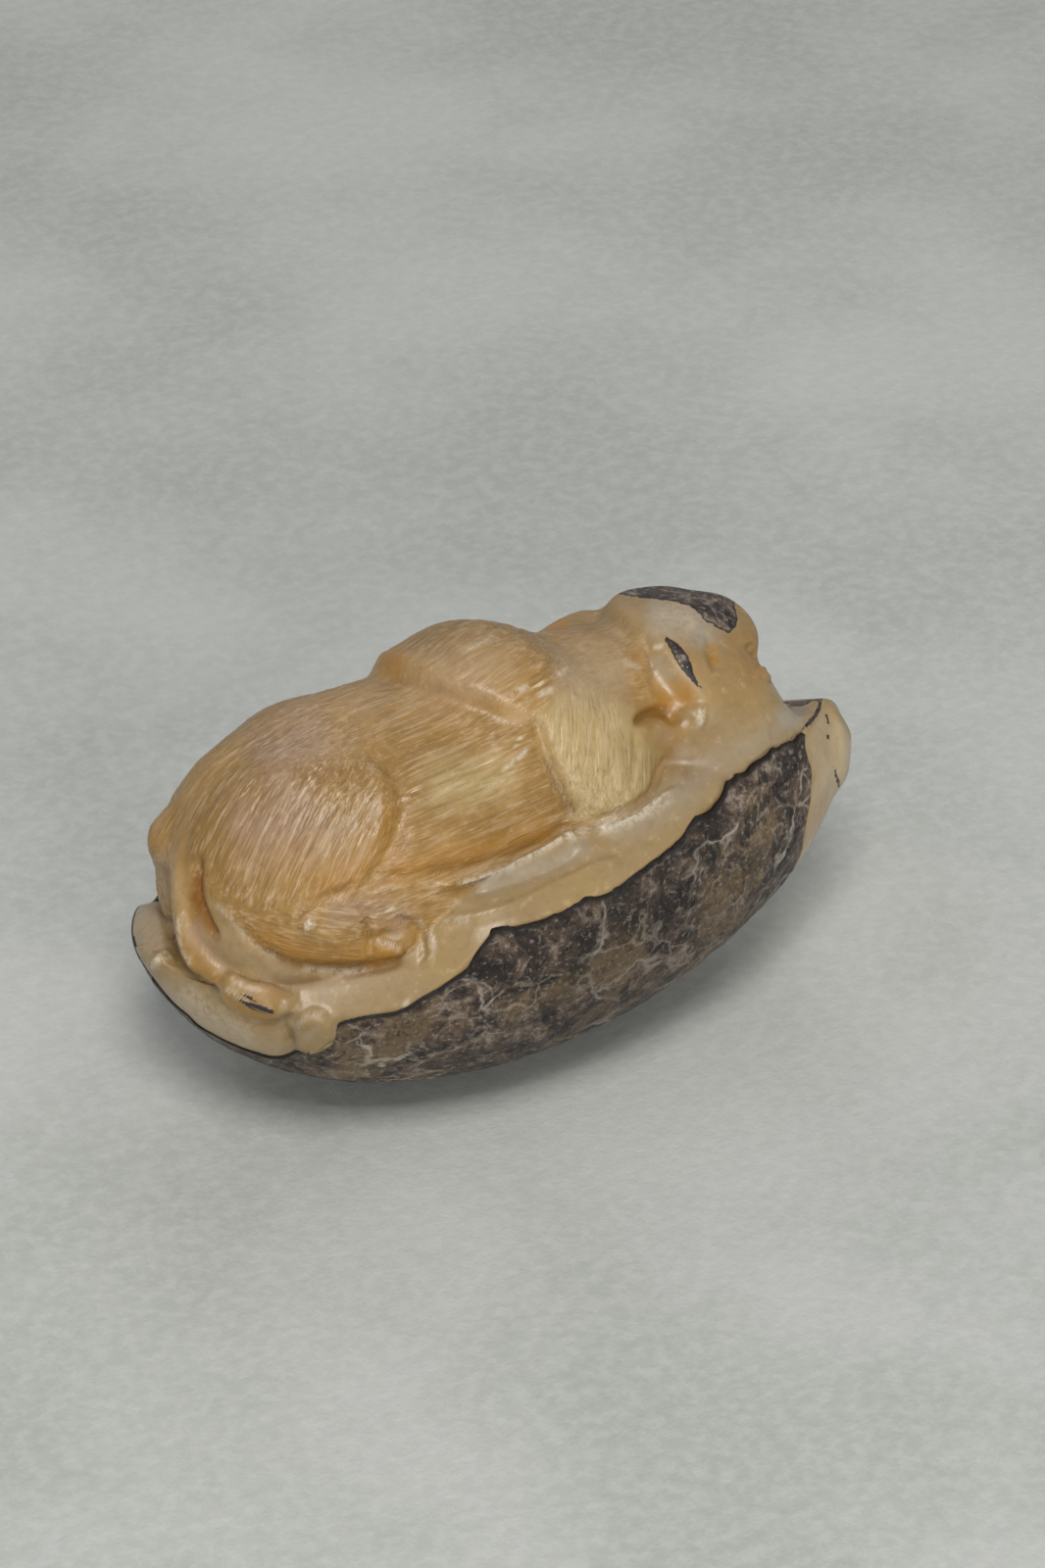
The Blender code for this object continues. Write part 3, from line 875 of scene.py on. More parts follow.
@dataclass
class Skin:
    """A closed skin of points drawn in to a field, along lines that fan out from a core line.

    The lines never cross, so the skin never folds over itself. Rows run from one end of the nut to the
    other and columns run round it. A first, even skin is measured, and the rows and columns of the fine
    one are spread so that its cells come out evenly sized on the carving and wide under the shell.
    """

    carving: Carving
    rows: int = 330
    columns: int = 300
    core_middle: Vec = (2.0, 2.2, -4.5)
    core_length: float = 0.62
    start_gap: float = 2.5
    closeness: float = 0.0015
    # Share of the gap that each step in covers, and the most steps
    pull: float = 0.8
    most_steps: int = 60
    # The even skin, the least spacing as a share of the mean, and how often the spread is softened
    even_rows: int = 141
    even_columns: int = 180
    least_across: float = 0.15
    least_down: float = 0.2
    soften_across: int = 12
    soften_down: int = 16
    head_start: float = 0.6

    def lines(self, theta: Array, phi: Array) -> tuple[Array, Array, Array]:
        """Start, direction and length of the line for each pair of angles.

        A line ends at (a cos t, w sin t cos p, w sin t sin p), w = R (1 - taper cos t), and starts on the
        core line at core_length * a cos t along the nut.

        Args:
            theta: Angle from the pointed end, one per line.
            phi: Angle round the nut, one per line.

        Returns:
            Starts, unit directions and lengths, one per line.
        """
        nut = self.carving.nut
        x = 0.5 * nut.length * np.cos(theta)
        width = 0.5 * nut.width * (1.0 - nut.taper * np.cos(theta)) * np.sin(theta)
        target = np.stack([x, width * np.cos(phi), width * np.sin(phi)], axis=1)
        core = np.stack([self.core_length * x, 0.0 * x, 0.0 * x], axis=1) + np.array(self.core_middle)
        lines = target - core
        lengths = np.linalg.norm(lines, axis=1)
        return core, lines / lengths[:, None], lengths

    def draw_in(self, theta: Array, phi: Array, start: Array | None = None) -> tuple[Array, Array]:
        """Follow each line inwards to the surface.

        Args:
            theta: Angle from the pointed end, one per line.
            phi: Angle round the nut, one per line.
            start: How far out along each line to start, or None for outside the nut.

        Returns:
            The points on the surface, and how far out along its line each one lies.
        """
        core, lines, lengths = self.lines(theta, phi)
        travelled = lengths + self.start_gap if start is None else start.copy()
        moving = np.arange(len(lines))
        for _ in range(self.most_steps):
            gap = self.carving.distance(core[moving] + lines[moving] * travelled[moving, None])
            travelled[moving] -= self.pull * gap
            moving = moving[np.abs(gap) > self.closeness]
            if len(moving) == 0:
                break
        return core + lines * travelled[:, None], travelled

    def weight(self, points: Array) -> Array:
        """How fine the skin should be at each point, 1 on the carving.

        Args:
            points: Places in millimetres, one per row.

        Returns:
            One weight per point.
        """
        covered = smooth_step(self.carving.edge.covered(points) - 0.8, 1.0)
        face = smooth_step(points[:, 0] - 6.0, 4.0) * smooth_step(points[:, 2] - 5.0, 3.0)
        face *= smooth_step(2.0 - points[:, 1], 4.0) * smooth_step(20.5 - points[:, 0], 3.0)
        far = smooth_step(points[:, 1] - 4.0, 4.0)
        return (1.0 + 0.45 * face - 0.25 * far) * (1.0 - 0.88 * covered)

    @staticmethod
    def softened(table: Array, times: int, wrap: bool) -> Array:
        """Average each line of a table with its neighbours, some times over.

        Args:
            table: Values, with one line per row.
            times: How often to average.
            wrap: Whether the last line is next to the first.

        Returns:
            The softened table.
        """
        for _ in range(times):
            before, after = np.roll(table, 1, axis=0), np.roll(table, -1, axis=0)
            if not wrap:
                before[0], after[-1] = table[0], table[-1]
            table = 0.25 * before + 0.5 * table + 0.25 * after
        return table

    def spread(self) -> tuple[Array, Array, Array]:
        """Work out where the fine rows and columns go.

        Returns:
            Angles theta and phi of every fine point, as rows by columns, and how far out along its line
            the even skin lies there.
        """
        rows, columns = self.even_rows, self.even_columns
        theta = np.linspace(0.0, math.pi, rows)
        phi = np.linspace(0.0, 2.0 * math.pi, columns + 1)
        grid_theta, grid_phi = np.meshgrid(theta, phi, indexing="ij")
        points, travelled = self.draw_in(grid_theta.ravel(), grid_phi.ravel())
        weight = self.weight(points).reshape(rows, columns + 1)
        points, travelled = points.reshape(rows, columns + 1, 3), travelled.reshape(rows, columns + 1)
        across = np.linalg.norm(np.diff(points, axis=1), axis=2) * 0.5 * (weight[:, 1:] + weight[:, :-1])
        across += self.least_across * across.mean(axis=1, keepdims=True) + 1e-6
        reach = np.concatenate([np.zeros((rows, 1)), np.cumsum(across, axis=1)], axis=1)
        reach = self.softened(reach / reach[:, -1:], self.soften_across, False)
        share = np.linspace(0.0, 1.0, self.columns, endpoint=False)
        phi_rows = np.stack([np.interp(share, line, phi) for line in reach])
        spread_points = np.stack([
            np.stack([np.interp(p, phi, line[:, axis]) for axis in range(3)], axis=1)
            for p, line in zip(phi_rows, points)
        ])
        spread_weight = np.stack([np.interp(p, phi, line) for p, line in zip(phi_rows, weight)])
        spread_out = np.stack([np.interp(p, phi, line) for p, line in zip(phi_rows, travelled)])
        down = np.linalg.norm(np.diff(spread_points, axis=0), axis=2)
        down = down * 0.5 * (spread_weight[1:] + spread_weight[:-1])
        down += self.least_down * down.mean(axis=0, keepdims=True) + 1e-6
        reach = np.concatenate([np.zeros((1, self.columns)), np.cumsum(down, axis=0)], axis=0)
        reach = self.softened((reach / reach[-1:]).T, self.soften_down, True).T
        share = np.linspace(0.0, 1.0, self.rows)
        fine_theta = np.stack([np.interp(share, reach[:, j], theta) for j in range(self.columns)], axis=1)
        fine_phi, fine_out = (
            np.stack([np.interp(fine_theta[:, j], theta, table[:, j]) for j in range(self.columns)], axis=1)
            for table in (phi_rows, spread_out)
        )
        return fine_theta, fine_phi, fine_out

    def points(self) -> Array:
        """Points of the fine skin, rows by columns by 3, with a single place for each end row.

        Returns:
            Places in millimetres.
        """
        theta, phi, out = self.spread()
        lengths = self.lines(theta.ravel(), phi.ravel())[2].reshape(out.shape)
        start = np.minimum(out + self.head_start, lengths + self.start_gap)
        points, _ = self.draw_in(theta.ravel(), phi.ravel(), start.ravel())
        return points.reshape(self.rows, self.columns, 3)


@dataclass
class Surface:
    """A closed grid of points, rows by columns, whose columns wrap and whose end rows are poles."""

    grid: Array

    def normals(self) -> Array:
        """Outward unit normals: cross product of the differences along rows and columns.

        Returns:
            Rows by columns by 3.
        """
        down = np.gradient(self.grid, axis=0)
        round_ = np.roll(self.grid, -1, axis=1) - np.roll(self.grid, 1, axis=1)
        normal = np.cross(down, round_)
        normal[0], normal[-1] = (1.0, 0.0, 0.0), (-1.0, 0.0, 0.0)
        return normal / (np.linalg.norm(normal, axis=2, keepdims=True) + 1e-12)

    def vertices_and_faces(self) -> tuple[Array, list[tuple[int, ...]]]:
        """Places of the vertices, with one for each pole, and the faces between them.

        Returns:
            One place per row, and the vertex numbers of each face.
        """
        rows, columns, _ = self.grid.shape
        inner = self.grid[1:-1].reshape(-1, 3)
        places = np.vstack([self.grid[0].mean(axis=0), inner, self.grid[-1].mean(axis=0)])
        index = 1 + np.arange((rows - 2) * columns).reshape(rows - 2, columns)
        along = np.roll(index, -1, axis=1)
        quads = np.stack([index[:-1], index[1:], along[1:], along[:-1]], axis=2).reshape(-1, 4)
        first = np.stack([np.zeros(columns, dtype=int), index[0], along[0]], axis=1)
        last = np.stack([index[-1], np.full(columns, len(places) - 1), along[-1]], axis=1)
        return places, first.tolist() + quads.tolist() + last.tolist()

    def values(self, table: Array) -> Array:
        """A table of rows by columns as one value per vertex, poles included."""
        return np.concatenate([[table[0].mean()], table[1:-1].ravel(), [table[-1].mean()]])


def new_mesh(
    name: str, places: Array, faces: list[tuple[int, ...]], layers: dict[str, Array]
) -> bpy.types.Object:
    """Make a smooth-shaded object from places in nut millimetres.

    Args:
        name: Name of the object and its mesh.
        places: One row per vertex.
        faces: Vertex numbers of each face, anticlockwise from outside.
        layers: Values per vertex, by the name that the materials read.

    Returns:
        The new object, linked to the scene.
    """
    placed = (places + NUT_MIDDLE) * MILLIMETRE
    placed[:, 2] = np.maximum(placed[:, 2], 0.0)
    mesh = bpy.data.meshes.new(name)
    mesh.from_pydata(placed.tolist(), [], faces)
    mesh.shade_smooth()
    for layer, values in layers.items():
        attribute = mesh.attributes.new(layer, "FLOAT", "POINT")
        attribute.data.foreach_set("value", np.ascontiguousarray(values, dtype=np.float32))
    mesh.update()
    item = bpy.data.objects.new(name, mesh)
    bpy.context.scene.collection.objects.link(item)
    return item


# Coat and coloured zones
@dataclass(frozen=True)
class Coat:
    """The knife strokes of the animal's coat, cut into the finished form."""

    guides: tuple[Guide, ...] = (
        Guide((-20.5, -1.0, 9.0), (0.72, -0.10, 0.68)),
        Guide((-14.2, 1.4, 10.8), (0.83, -0.40, 0.40)), Guide((-9.7, -2.4, 12.1), (0.98, -0.17, 0.05)),
        Guide((-8.3, -5.5, 11.8), (1.00, 0.04, -0.01)), Guide((-7.6, -7.7, 10.7), (0.99, 0.10, -0.02)),
        Guide((-7.8, -9.5, 8.6), (0.99, 0.02, -0.10)), Guide((-10.3, -10.7, 6.9), (0.99, -0.08, -0.08)),
        Guide((-5.1, -10.5, 6.7), (0.98, 0.18, 0.00)), Guide((-16.7, -7.3, 9.4), (0.65, 0.31, 0.69)),
        Guide((-13.5, -8.8, 9.7), (0.61, 0.46, 0.64)), Guide((-20.1, -4.8, 8.5), (0.66, 0.16, 0.73)),
        Guide((-21.5, -2.5, 8.2), (0.66, 0.08, 0.75)), Guide((-19.0, -8.1, 6.8), (0.59, 0.12, 0.80)),
        Guide((-12.9, -6.1, 11.6), (0.79, 0.58, 0.22)), Guide((-18.1, -9.8, 3.2), (0.89, -0.42, -0.20)),
        Guide((-14.7, -2.4, 11.8), (0.89, 0.46, 0.07)), Guide((-1.8, -1.4, 13.8), (0.98, 0.19, 0.02)),
        Guide((-4.4, 0.6, 13.9), (0.82, -0.40, 0.41)), Guide((-0.9, -5.5, 13.3), (0.98, 0.15, 0.14)),
        Guide((2.9, -3.6, 12.8), (0.72, 0.64, -0.26)), Guide((0.1, -8.4, 10.0), (0.33, 0.49, 0.81)),
        Guide((2.1, -8.8, 9.7), (0.36, 0.67, 0.66)), Guide((4.4, -9.4, 9.0), (0.40, 0.75, 0.53)),
        Guide((5.0, -10.4, 7.5), (0.54, 0.63, 0.56)), Guide((7.0, -3.8, 11.9), (0.93, 0.34, 0.13)),
        Guide((-2.0, -8.2, 10.2), (0.92, 0.14, 0.37)), Guide((-15.0, 7.0, 8.0), (0.85, -0.10, 0.45)),
        Guide((-4.0, 8.0, 8.0), (0.95, 0.20, 0.10)), Guide((4.0, 7.0, 8.0), (0.60, -0.40, 0.60)),
    )
    guide_spread: float = 3.5
    # Half-width, half-length and depth of a stroke in millimetres
    body: Vec = (0.27, 1.9, 0.09)
    fleck: Vec = (0.30, 1.1, 0.10)
    upright: Vec = (0.26, 2.4, 0.11)
    # Least and most share of those sizes, and how far a stroke reaches through the surface
    least: Vec = (0.75, 0.6, 0.45)
    most: Vec = (1.15, 1.25, 1.15)
    through: float = 0.8
    most_cells: int = 40
    crowding: float = 0.65
    wander: float = 0.06
    # Share of the strokes that carry pale flecks of painted glint
    glint_share: float = 0.015
    tries: int = 14000
    seed: int = 11

    def directions(self, points: Array, normals: Array) -> Array:
        """Directions that the strokes run, tangent to the surface.

        Each point takes the guides' directions with weights exp(-(distance / spread) ** 2), then the part
        along the normal is taken off.

        Args:
            points: Places, rows by columns by 3.
            normals: Unit normals there.

        Returns:
            Unit directions there.
        """
        total = np.zeros_like(points)
        for guide in self.guides:
            gap = np.linalg.norm(points - np.array(guide.place), axis=-1)
            weight = bell(gap, self.guide_spread) + 1e-4 / (1.0 + gap ** 2)
            total += weight[..., None] * np.array(guide.direction)
        total -= (total * normals).sum(axis=-1, keepdims=True) * normals
        return total / (np.linalg.norm(total, axis=-1, keepdims=True) + TINY)

    def centres(self, grid: Array, directions: Array, sides: Array, furry: Array, size: Array) -> list[int]:
        """Choose where the strokes go: random places by area, with none inside another's core.

        Args:
            grid: Places, rows by columns by 3.
            directions: Unit directions that the strokes run, per place.
            sides: Unit directions across them.
            furry: Share of each place in the coat.
            size: Half-width and half-length of a stroke at each place.

        Returns:
            Numbers of the chosen places.
        """
        chance = np.random.default_rng(self.seed)
        across, down = np.roll(grid, -1, axis=1) - grid, np.gradient(grid, axis=0)
        area = (np.linalg.norm(np.cross(across, down), axis=2) * (furry > 0.15)).ravel()
        picks = chance.choice(area.size, self.tries, p=area / area.sum())
        places, along, side = (table.reshape(-1, 3)[picks] for table in (grid, directions, sides))
        half_width, half_length = size.reshape(-1, 2)[picks].T
        kept: list[int] = []
        for number in range(self.tries):
            offset = places[kept] - places[number]
            gap = ((offset @ side[number]) / half_width[number]) ** 2
            gap += ((offset @ along[number]) / half_length[number]) ** 2
            gap += ((offset ** 2).sum(axis=1) > 9.0)
            if len(kept) == 0 or gap.min() > self.crowding:
                kept.append(number)
        return picks[kept].tolist()

    def cuts(
        self, grid: Array, normals: Array, directions: Array, furry: Array, mane: Array, chest: Array
    ) -> tuple[Array, Array]:
        """Cut the strokes one by one, each along the coat's direction at its middle.

        A stroke's depth is depth * (1 - (across / half-width) ** 2 - (along / half-length) ** 2), and where
        strokes overlap the deepest counts.

        Args:
            grid: Places, rows by columns by 3; the columns wrap round.
            normals: Unit normals there.
            directions: Unit directions that the strokes run.
            furry: Share of each place in the coat.
            mane: Share of each place in the mane, with short flecks.
            chest: Share of each place in the chest, with long upright strokes.

        Returns:
            The depth of the strokes in millimetres, and the share of each place in a stroke with pale flecks
            of painted glint.
        """
        chance = np.random.default_rng(self.seed + 1)
        mane, chest = (mane * (1.0 - chest))[..., None], chest[..., None]
        size = np.array(self.body) * (1.0 - mane - chest)
        size = size + np.array(self.fleck) * mane + np.array(self.upright) * chest
        sides = np.cross(normals, directions)
        depth, pale = np.zeros(furry.shape), np.zeros(furry.shape)
        rows, columns = furry.shape
        steps = np.stack([np.linalg.norm(np.gradient(grid, axis=0), axis=2),
                          np.linalg.norm(np.roll(grid, -1, axis=1) - grid, axis=2)], axis=2)
        centres = self.centres(grid, directions, sides, furry, size[..., :2])
        log.info("coat: %d strokes", len(centres))
        for centre in centres:
            row, column = divmod(centre, columns)
            half_width, half_length, deepest = size[row, column] * chance.uniform(self.least, self.most)
            reach = np.minimum(np.ceil(half_length / steps[row, column]), self.most_cells).astype(int)
            near_columns = np.arange(column - reach[1], column + reach[1] + 1) % columns
            near = slice(max(row - reach[0], 0), row + reach[0] + 1), near_columns
            offset = grid[near] - grid[row, column]
            turn = chance.normal(0.0, self.wander)
            along = directions[row, column] + turn * sides[row, column]
            side = sides[row, column] - turn * directions[row, column]
            scoop = 1.0 - (offset @ side / half_width) ** 2 - (offset @ along / half_length) ** 2
            scoop -= (offset @ normals[row, column] / self.through) ** 2
            depth[near] = np.maximum(depth[near], deepest * scoop)
            # Some strokes get pale flecks of painted glint
            if chance.random() < self.glint_share:
                pale[near] = np.maximum(pale[near], scoop)
        return depth * furry, pale * furry


@dataclass(frozen=True)
class Zones:
    """Parts of the carving cut and coloured in their own way, with lines of stain, painted shade and painted
    light.
    """

    carving: Carving
    chest: Outline = Outline((
        (550, 728), (590, 690), (640, 722), (652, 745), (672, 770), (668, 802), (640, 826), (594, 842),
        (570, 802), (558, 770),
    ))
    smooth_face: Outline = Outline((
        (640, 600), (655, 632), (672, 706), (640, 722), (645, 760), (700, 780), (860, 760), (860, 600),
        (760, 590),
    ))
    # Stains and painted shade and light are lines on the sheet; the first number is the strength in the
    # middle, then the widths
    # Painted shade and glow: warm amber in creases, slits and under the belly, leg and tuft, and light
    # glowing through the thin ear flap and far horn; the eye and lower claw take it too
    amber_shade: tuple[Groove, ...] = (
        Groove(((172, 885), (174, 930), (184, 965), (204, 992), (222, 1002)), 0.30, (1.0, 0.9), 1.0, 0.8),
        Groove(((246, 950), (272, 968), (308, 982), (345, 986), (380, 982), (412, 976)), 0.90, (0.6, 1.9),
                1.0, 0.8),
        Groove(((330, 915), (350, 908), (372, 894)), 0.45, (0.5, 1.2), 1.0, 0.8),
        Groove(((385, 892), (420, 890), (460, 884), (500, 872), (540, 858), (575, 842)), 0.85, (0.8, 2.2),
                1.3, 1.4),
        Groove(((400, 800), (402, 830), (392, 860), (370, 885), (340, 900), (300, 915)), 0.60, (2.2, 1.6),
                1.2, 2.0),
        Groove(((150, 850), (150, 880)), 0.3, (1.6, 1.6), 1.0, 0.4),
        Groove(((386, 682), (398, 672), (416, 672)), 0.8, (2.0, 2.0), 1.0, 0.5),
        Groove(((552, 642), (564, 632), (584, 636)), 1.0, (1.3, 1.3), 0.8, 0.4),
        Groove(((664, 724), (680, 718), (698, 711), (714, 706)), 0.95, (0.9, 1.2), 0.7, 0.8),
        Groove(((650, 738), (656, 728), (669, 723), (682, 727), (690, 738)), 0.9, (0.5, 0.4), 1.0, 0.5),
        Groove(((724, 652), (727, 666), (731, 682)), 0.8, (0.50, 0.45), 0.5, 0.4),
        Groove(((240, 1040), (262, 1052), (285, 1062)), 0.5, (0.9, 0.9), 1.0, 0.6),
        Groove(((764, 640), (768, 670), (780, 700)), 0.35, (1.6, 1.6), 1.0, 0.8),
        Groove(((382, 971), (396, 972), (412, 970)), 0.85, (0.5, 0.45), 0.8, 0.3),
    )
    rose: tuple[Groove, ...] = (
        Groove(((215, 850), (250, 842), (290, 835), (330, 800)), 0.95, (4.2, 3.6), 1.0, 2.5),
        Groove(((240, 785), (300, 755), (350, 738)), 0.9, (3.8, 3.4), 0.9, 2.5),
        Groove(((420, 690), (470, 700), (520, 700)), 0.5, (2.6, 2.6), 1.0, 2.5),
        Groove(((196, 935), (206, 955), (222, 975), (245, 990)), 0.8, (1.2, 1.2), 1.0, 0.8),
        Groove(((330, 935), (370, 925), (400, 930), (425, 945)), 0.8, (1.6, 1.2), 1.0, 0.8),
        Groove(((260, 985), (300, 1002), (360, 1008), (420, 1000)), 0.8, (1.6, 1.2), 1.0, 1.2),
        Groove(((180, 1000), (220, 1030), (260, 1058)), 0.9, (1.6, 1.0), 1.0, 1.0),
    )
    grey: tuple[Groove, ...] = (
        Groove(((650, 628), (690, 628), (715, 640), (712, 670)), 1.0, (2.2, 1.6), 1.0, 1.2),
        Groove(((668, 660), (676, 680), (690, 695)), 0.6, (1.0, 0.8), 1.0, 0.8),
        Groove(((660, 745), (676, 748), (690, 758)), 0.25, (1.2, 1.0), 1.0, 0.6),
        Groove(((480, 904), (540, 886), (580, 872), (605, 856)), 0.75, (1.2, 1.0), 1.0, 1.0),
        Groove(((610, 846), (655, 836), (690, 815), (740, 775), (780, 752), (825, 722)), 0.55, (1.6, 1.6),
                1.0, 1.2),
        Groove(((790, 735), (815, 725), (832, 716)), 0.8, (1.2, 0.8), 1.0, 0.6),
        Groove(((145, 920), (142, 950), (150, 975)), 0.6, (1.3, 1.3), 1.0, 0.8),
        Groove(((312, 1045), (322, 1055)), 0.6, (1.0, 1.0), 1.0, 0.5),
        Groove(((395, 952), (410, 957)), 0.5, (0.5, 0.5), 1.0, 0.3),
    )
    # Painted light: pale straw that lightens the middle of the belly as if lit more; the short line is the
    # olive-straw tone of the upper claw
    straw: tuple[Groove, ...] = (
        Groove(((420, 810), (470, 800), (540, 790)), 0.8, (2.4, 2.6), 0.8, 2.0),
        Groove(((392, 952), (412, 958)), 0.4, (0.5, 0.5), 0.8, 0.3),
    )
    # Painted shade: dark brown in the throat slot, along the creases of chest, belly, mane, hoof and tail,
    # under the shank and in the dim hollow below the cheek
    brown: tuple[Groove, ...] = (
        Groove(((650, 742), (656, 731), (663, 726), (672, 724), (681, 726), (688, 733)), 0.72, (1.0, 0.50),
                1.0, 0.7),
        Groove(((690, 790), (720, 785), (746, 780)), 0.25, (1.4, 1.2), 0.6, 0.8),
        Groove(((664, 752), (684, 764), (712, 776)), 0.30, (1.5, 1.5), 0.8, 0.8),
        Groove(((672, 788), (668, 803), (655, 817), (640, 826), (608, 837)), 0.25, (0.40, 0.30), 1.0, 0.8),
        Groove(((430, 892), (470, 886), (500, 878), (530, 868), (556, 855)), 0.35, (0.30, 1.0), 1.2, 1.0),
        Groove(((376, 695), (400, 694), (430, 699), (456, 706), (478, 717)), 0.40, (0.40, 0.20), 1.0, 1.0),
        Groove(((262, 968), (298, 986), (338, 991), (378, 989)), 0.60, (0.35, 0.70), 1.0, 0.8),
        Groove(((336, 913), (352, 906), (364, 899)), 0.50, (0.30, 0.50), 1.0, 0.4),
        Groove(((375, 938), (377, 950), (380, 962)), 0.55, (0.30, 0.22), 1.0, 0.3),
        Groove(((386, 956), (399, 959), (412, 965)), 0.45, (0.22, 0.26), 1.0, 0.3),
        Groove(((172, 930), (179, 968), (198, 996), (222, 1010)), 0.35, (0.50, 0.25), 1.0, 0.6),
        Groove(((556, 768), (563, 786), (573, 806), (582, 824), (590, 838)), 0.60, (0.40, 0.30), 1.0, 0.7),
        Groove(((657, 660), (662, 674), (668, 694)), 0.35, (0.20, 0.30), 1.0, 0.5),
    )
    # Painted highlights: whitish lines and flecks along ridge crests, edges and polished spots
    painted_highlight: tuple[Groove, ...] = (
        Groove(((462, 901), (480, 898), (500, 892), (520, 884), (540, 874), (560, 864), (575, 855),
                (590, 848)),
               0.95, (0.35, 0.30), 0.8, 0.8),
        Groove(((602, 843), (620, 840), (640, 835), (655, 827), (670, 817), (686, 808)),
                0.85, (0.80, 0.30), 0.9, 0.8),
        Groove(((448, 940), (466, 938), (484, 936)), 0.5, (0.70, 0.20), 1.0, 0.4),
        Groove(((218, 922), (232, 932), (241, 946), (252, 959), (266, 970), (286, 981)),
                0.55, (0.25, 0.22), 1.0, 0.4),
        Groove(((305, 989), (335, 993), (381, 991)), 0.55, (0.25, 0.22), 1.0, 0.4),
        Groove(((184, 933), (184, 952), (188, 970), (198, 987)), 0.75, (0.25, 0.25), 1.0, 0.4),
        Groove(((230, 1004), (244, 1012), (258, 1019)), 0.6, (0.25, 0.22), 1.0, 0.3),
        Groove(((382, 960), (396, 963), (411, 968)), 0.9, (0.28, 0.22), 1.0, 0.3),
        Groove(((309, 945), (316, 942), (321, 939)), 1.0, (0.45, 0.40), 0.7, 0.2),
        Groove(((424, 936), (433, 948), (439, 962), (440, 980)), 0.5, (0.30, 0.30), 1.0, 0.4),
        Groove(((715, 720), (716, 731), (713, 743)), 0.9, (0.28, 0.30), 0.8, 0.3),
        Groove(((664, 659), (671, 660), (678, 657)), 0.8, (0.28, 0.28), 0.8, 0.2),
        Groove(((633, 674), (644, 677), (657, 683)), 0.5, (0.35, 0.30), 1.0, 0.4),
        Groove(((157, 988), (163, 979), (172, 968)), 0.9, (0.30, 0.28), 0.8, 0.2),
        Groove(((520, 710), (532, 703), (545, 699)), 0.8, (0.32, 0.30), 0.8, 0.3),
        Groove(((547, 711), (556, 706), (567, 701)), 0.8, (0.28, 0.28), 0.8, 0.3),
        Groove(((568, 689), (576, 684), (582, 680)), 0.8, (0.24, 0.24), 0.8, 0.2),
        Groove(((512, 787), (527, 775), (541, 762)), 0.8, (0.22, 0.22), 0.8, 0.3),
        Groove(((496, 804), (507, 799), (517, 795)), 0.6, (0.20, 0.20), 0.8, 0.3),
        Groove(((546, 724), (548, 733), (551, 742)), 0.8, (0.20, 0.20), 0.8, 0.2),
        Groove(((468, 666), (486, 657), (505, 648)), 0.5, (0.28, 0.28), 0.8, 0.4),
        Groove(((303, 1048), (308, 1038), (319, 1032), (330, 1035)), 0.4, (0.22, 0.22), 1.0, 0.3),
        Groove(((410, 1023), (418, 1026)), 0.9, (0.35, 0.35), 0.8, 0.2),
        Groove(((178, 1008), (215, 1036), (265, 1060)), 0.40, (1.2, 1.0), 0.8, 0.8),
        Groove(((664, 630), (690, 630), (712, 645)), 0.30, (1.4, 1.2), 0.8, 0.8),
        Groove(((576, 858), (590, 852), (603, 848)), 0.60, (0.50, 0.50), 1.0, 0.5),
    )
    # Painted light: pale pearl that lightens the low facets at the left end, the rump, neck, mane, forehead
    # and tail, as if lit more strongly
    painted_light: tuple[Groove, ...] = (
        Groove(((158, 1000), (200, 1036), (250, 1060), (296, 1070)), 1.0, (1.4, 1.2), 0.6, 1.0),
        Groove(((160, 925), (150, 948), (156, 976)), 0.9, (1.2, 1.2), 0.6, 0.8),
        Groove(((556, 694), (600, 690), (650, 684)), 1.0, (2.6, 3.0), 0.7, 1.2),
        Groove(((162, 862), (178, 900), (182, 945)), 0.55, (0.9, 0.9), 0.8, 0.8),
        Groove(((400, 690), (470, 680), (545, 676)), 0.45, (2.4, 2.4), 0.7, 1.5),
        Groove(((655, 628), (690, 632), (712, 650)), 0.45, (1.6, 1.4), 0.7, 0.8),
        Groove(((222, 940), (240, 965), (262, 985), (300, 1000)), 0.50, (0.9, 0.9), 1.0, 0.8),
    )
    ink: tuple[Groove, ...] = (
        Groove(((247, 1015), (257, 1020), (270, 1026), (283, 1031)), 1.0, (0.34, 0.30), 0.6, 0.5),
        Groove(((238, 1006), (250, 1012), (262, 1017)), 0.8, (0.14, 0.14), 1.0, 0.3),
        Groove(((240, 1012), (252, 1019), (264, 1026)), 0.8, (0.12, 0.12), 1.0, 0.3),
    )
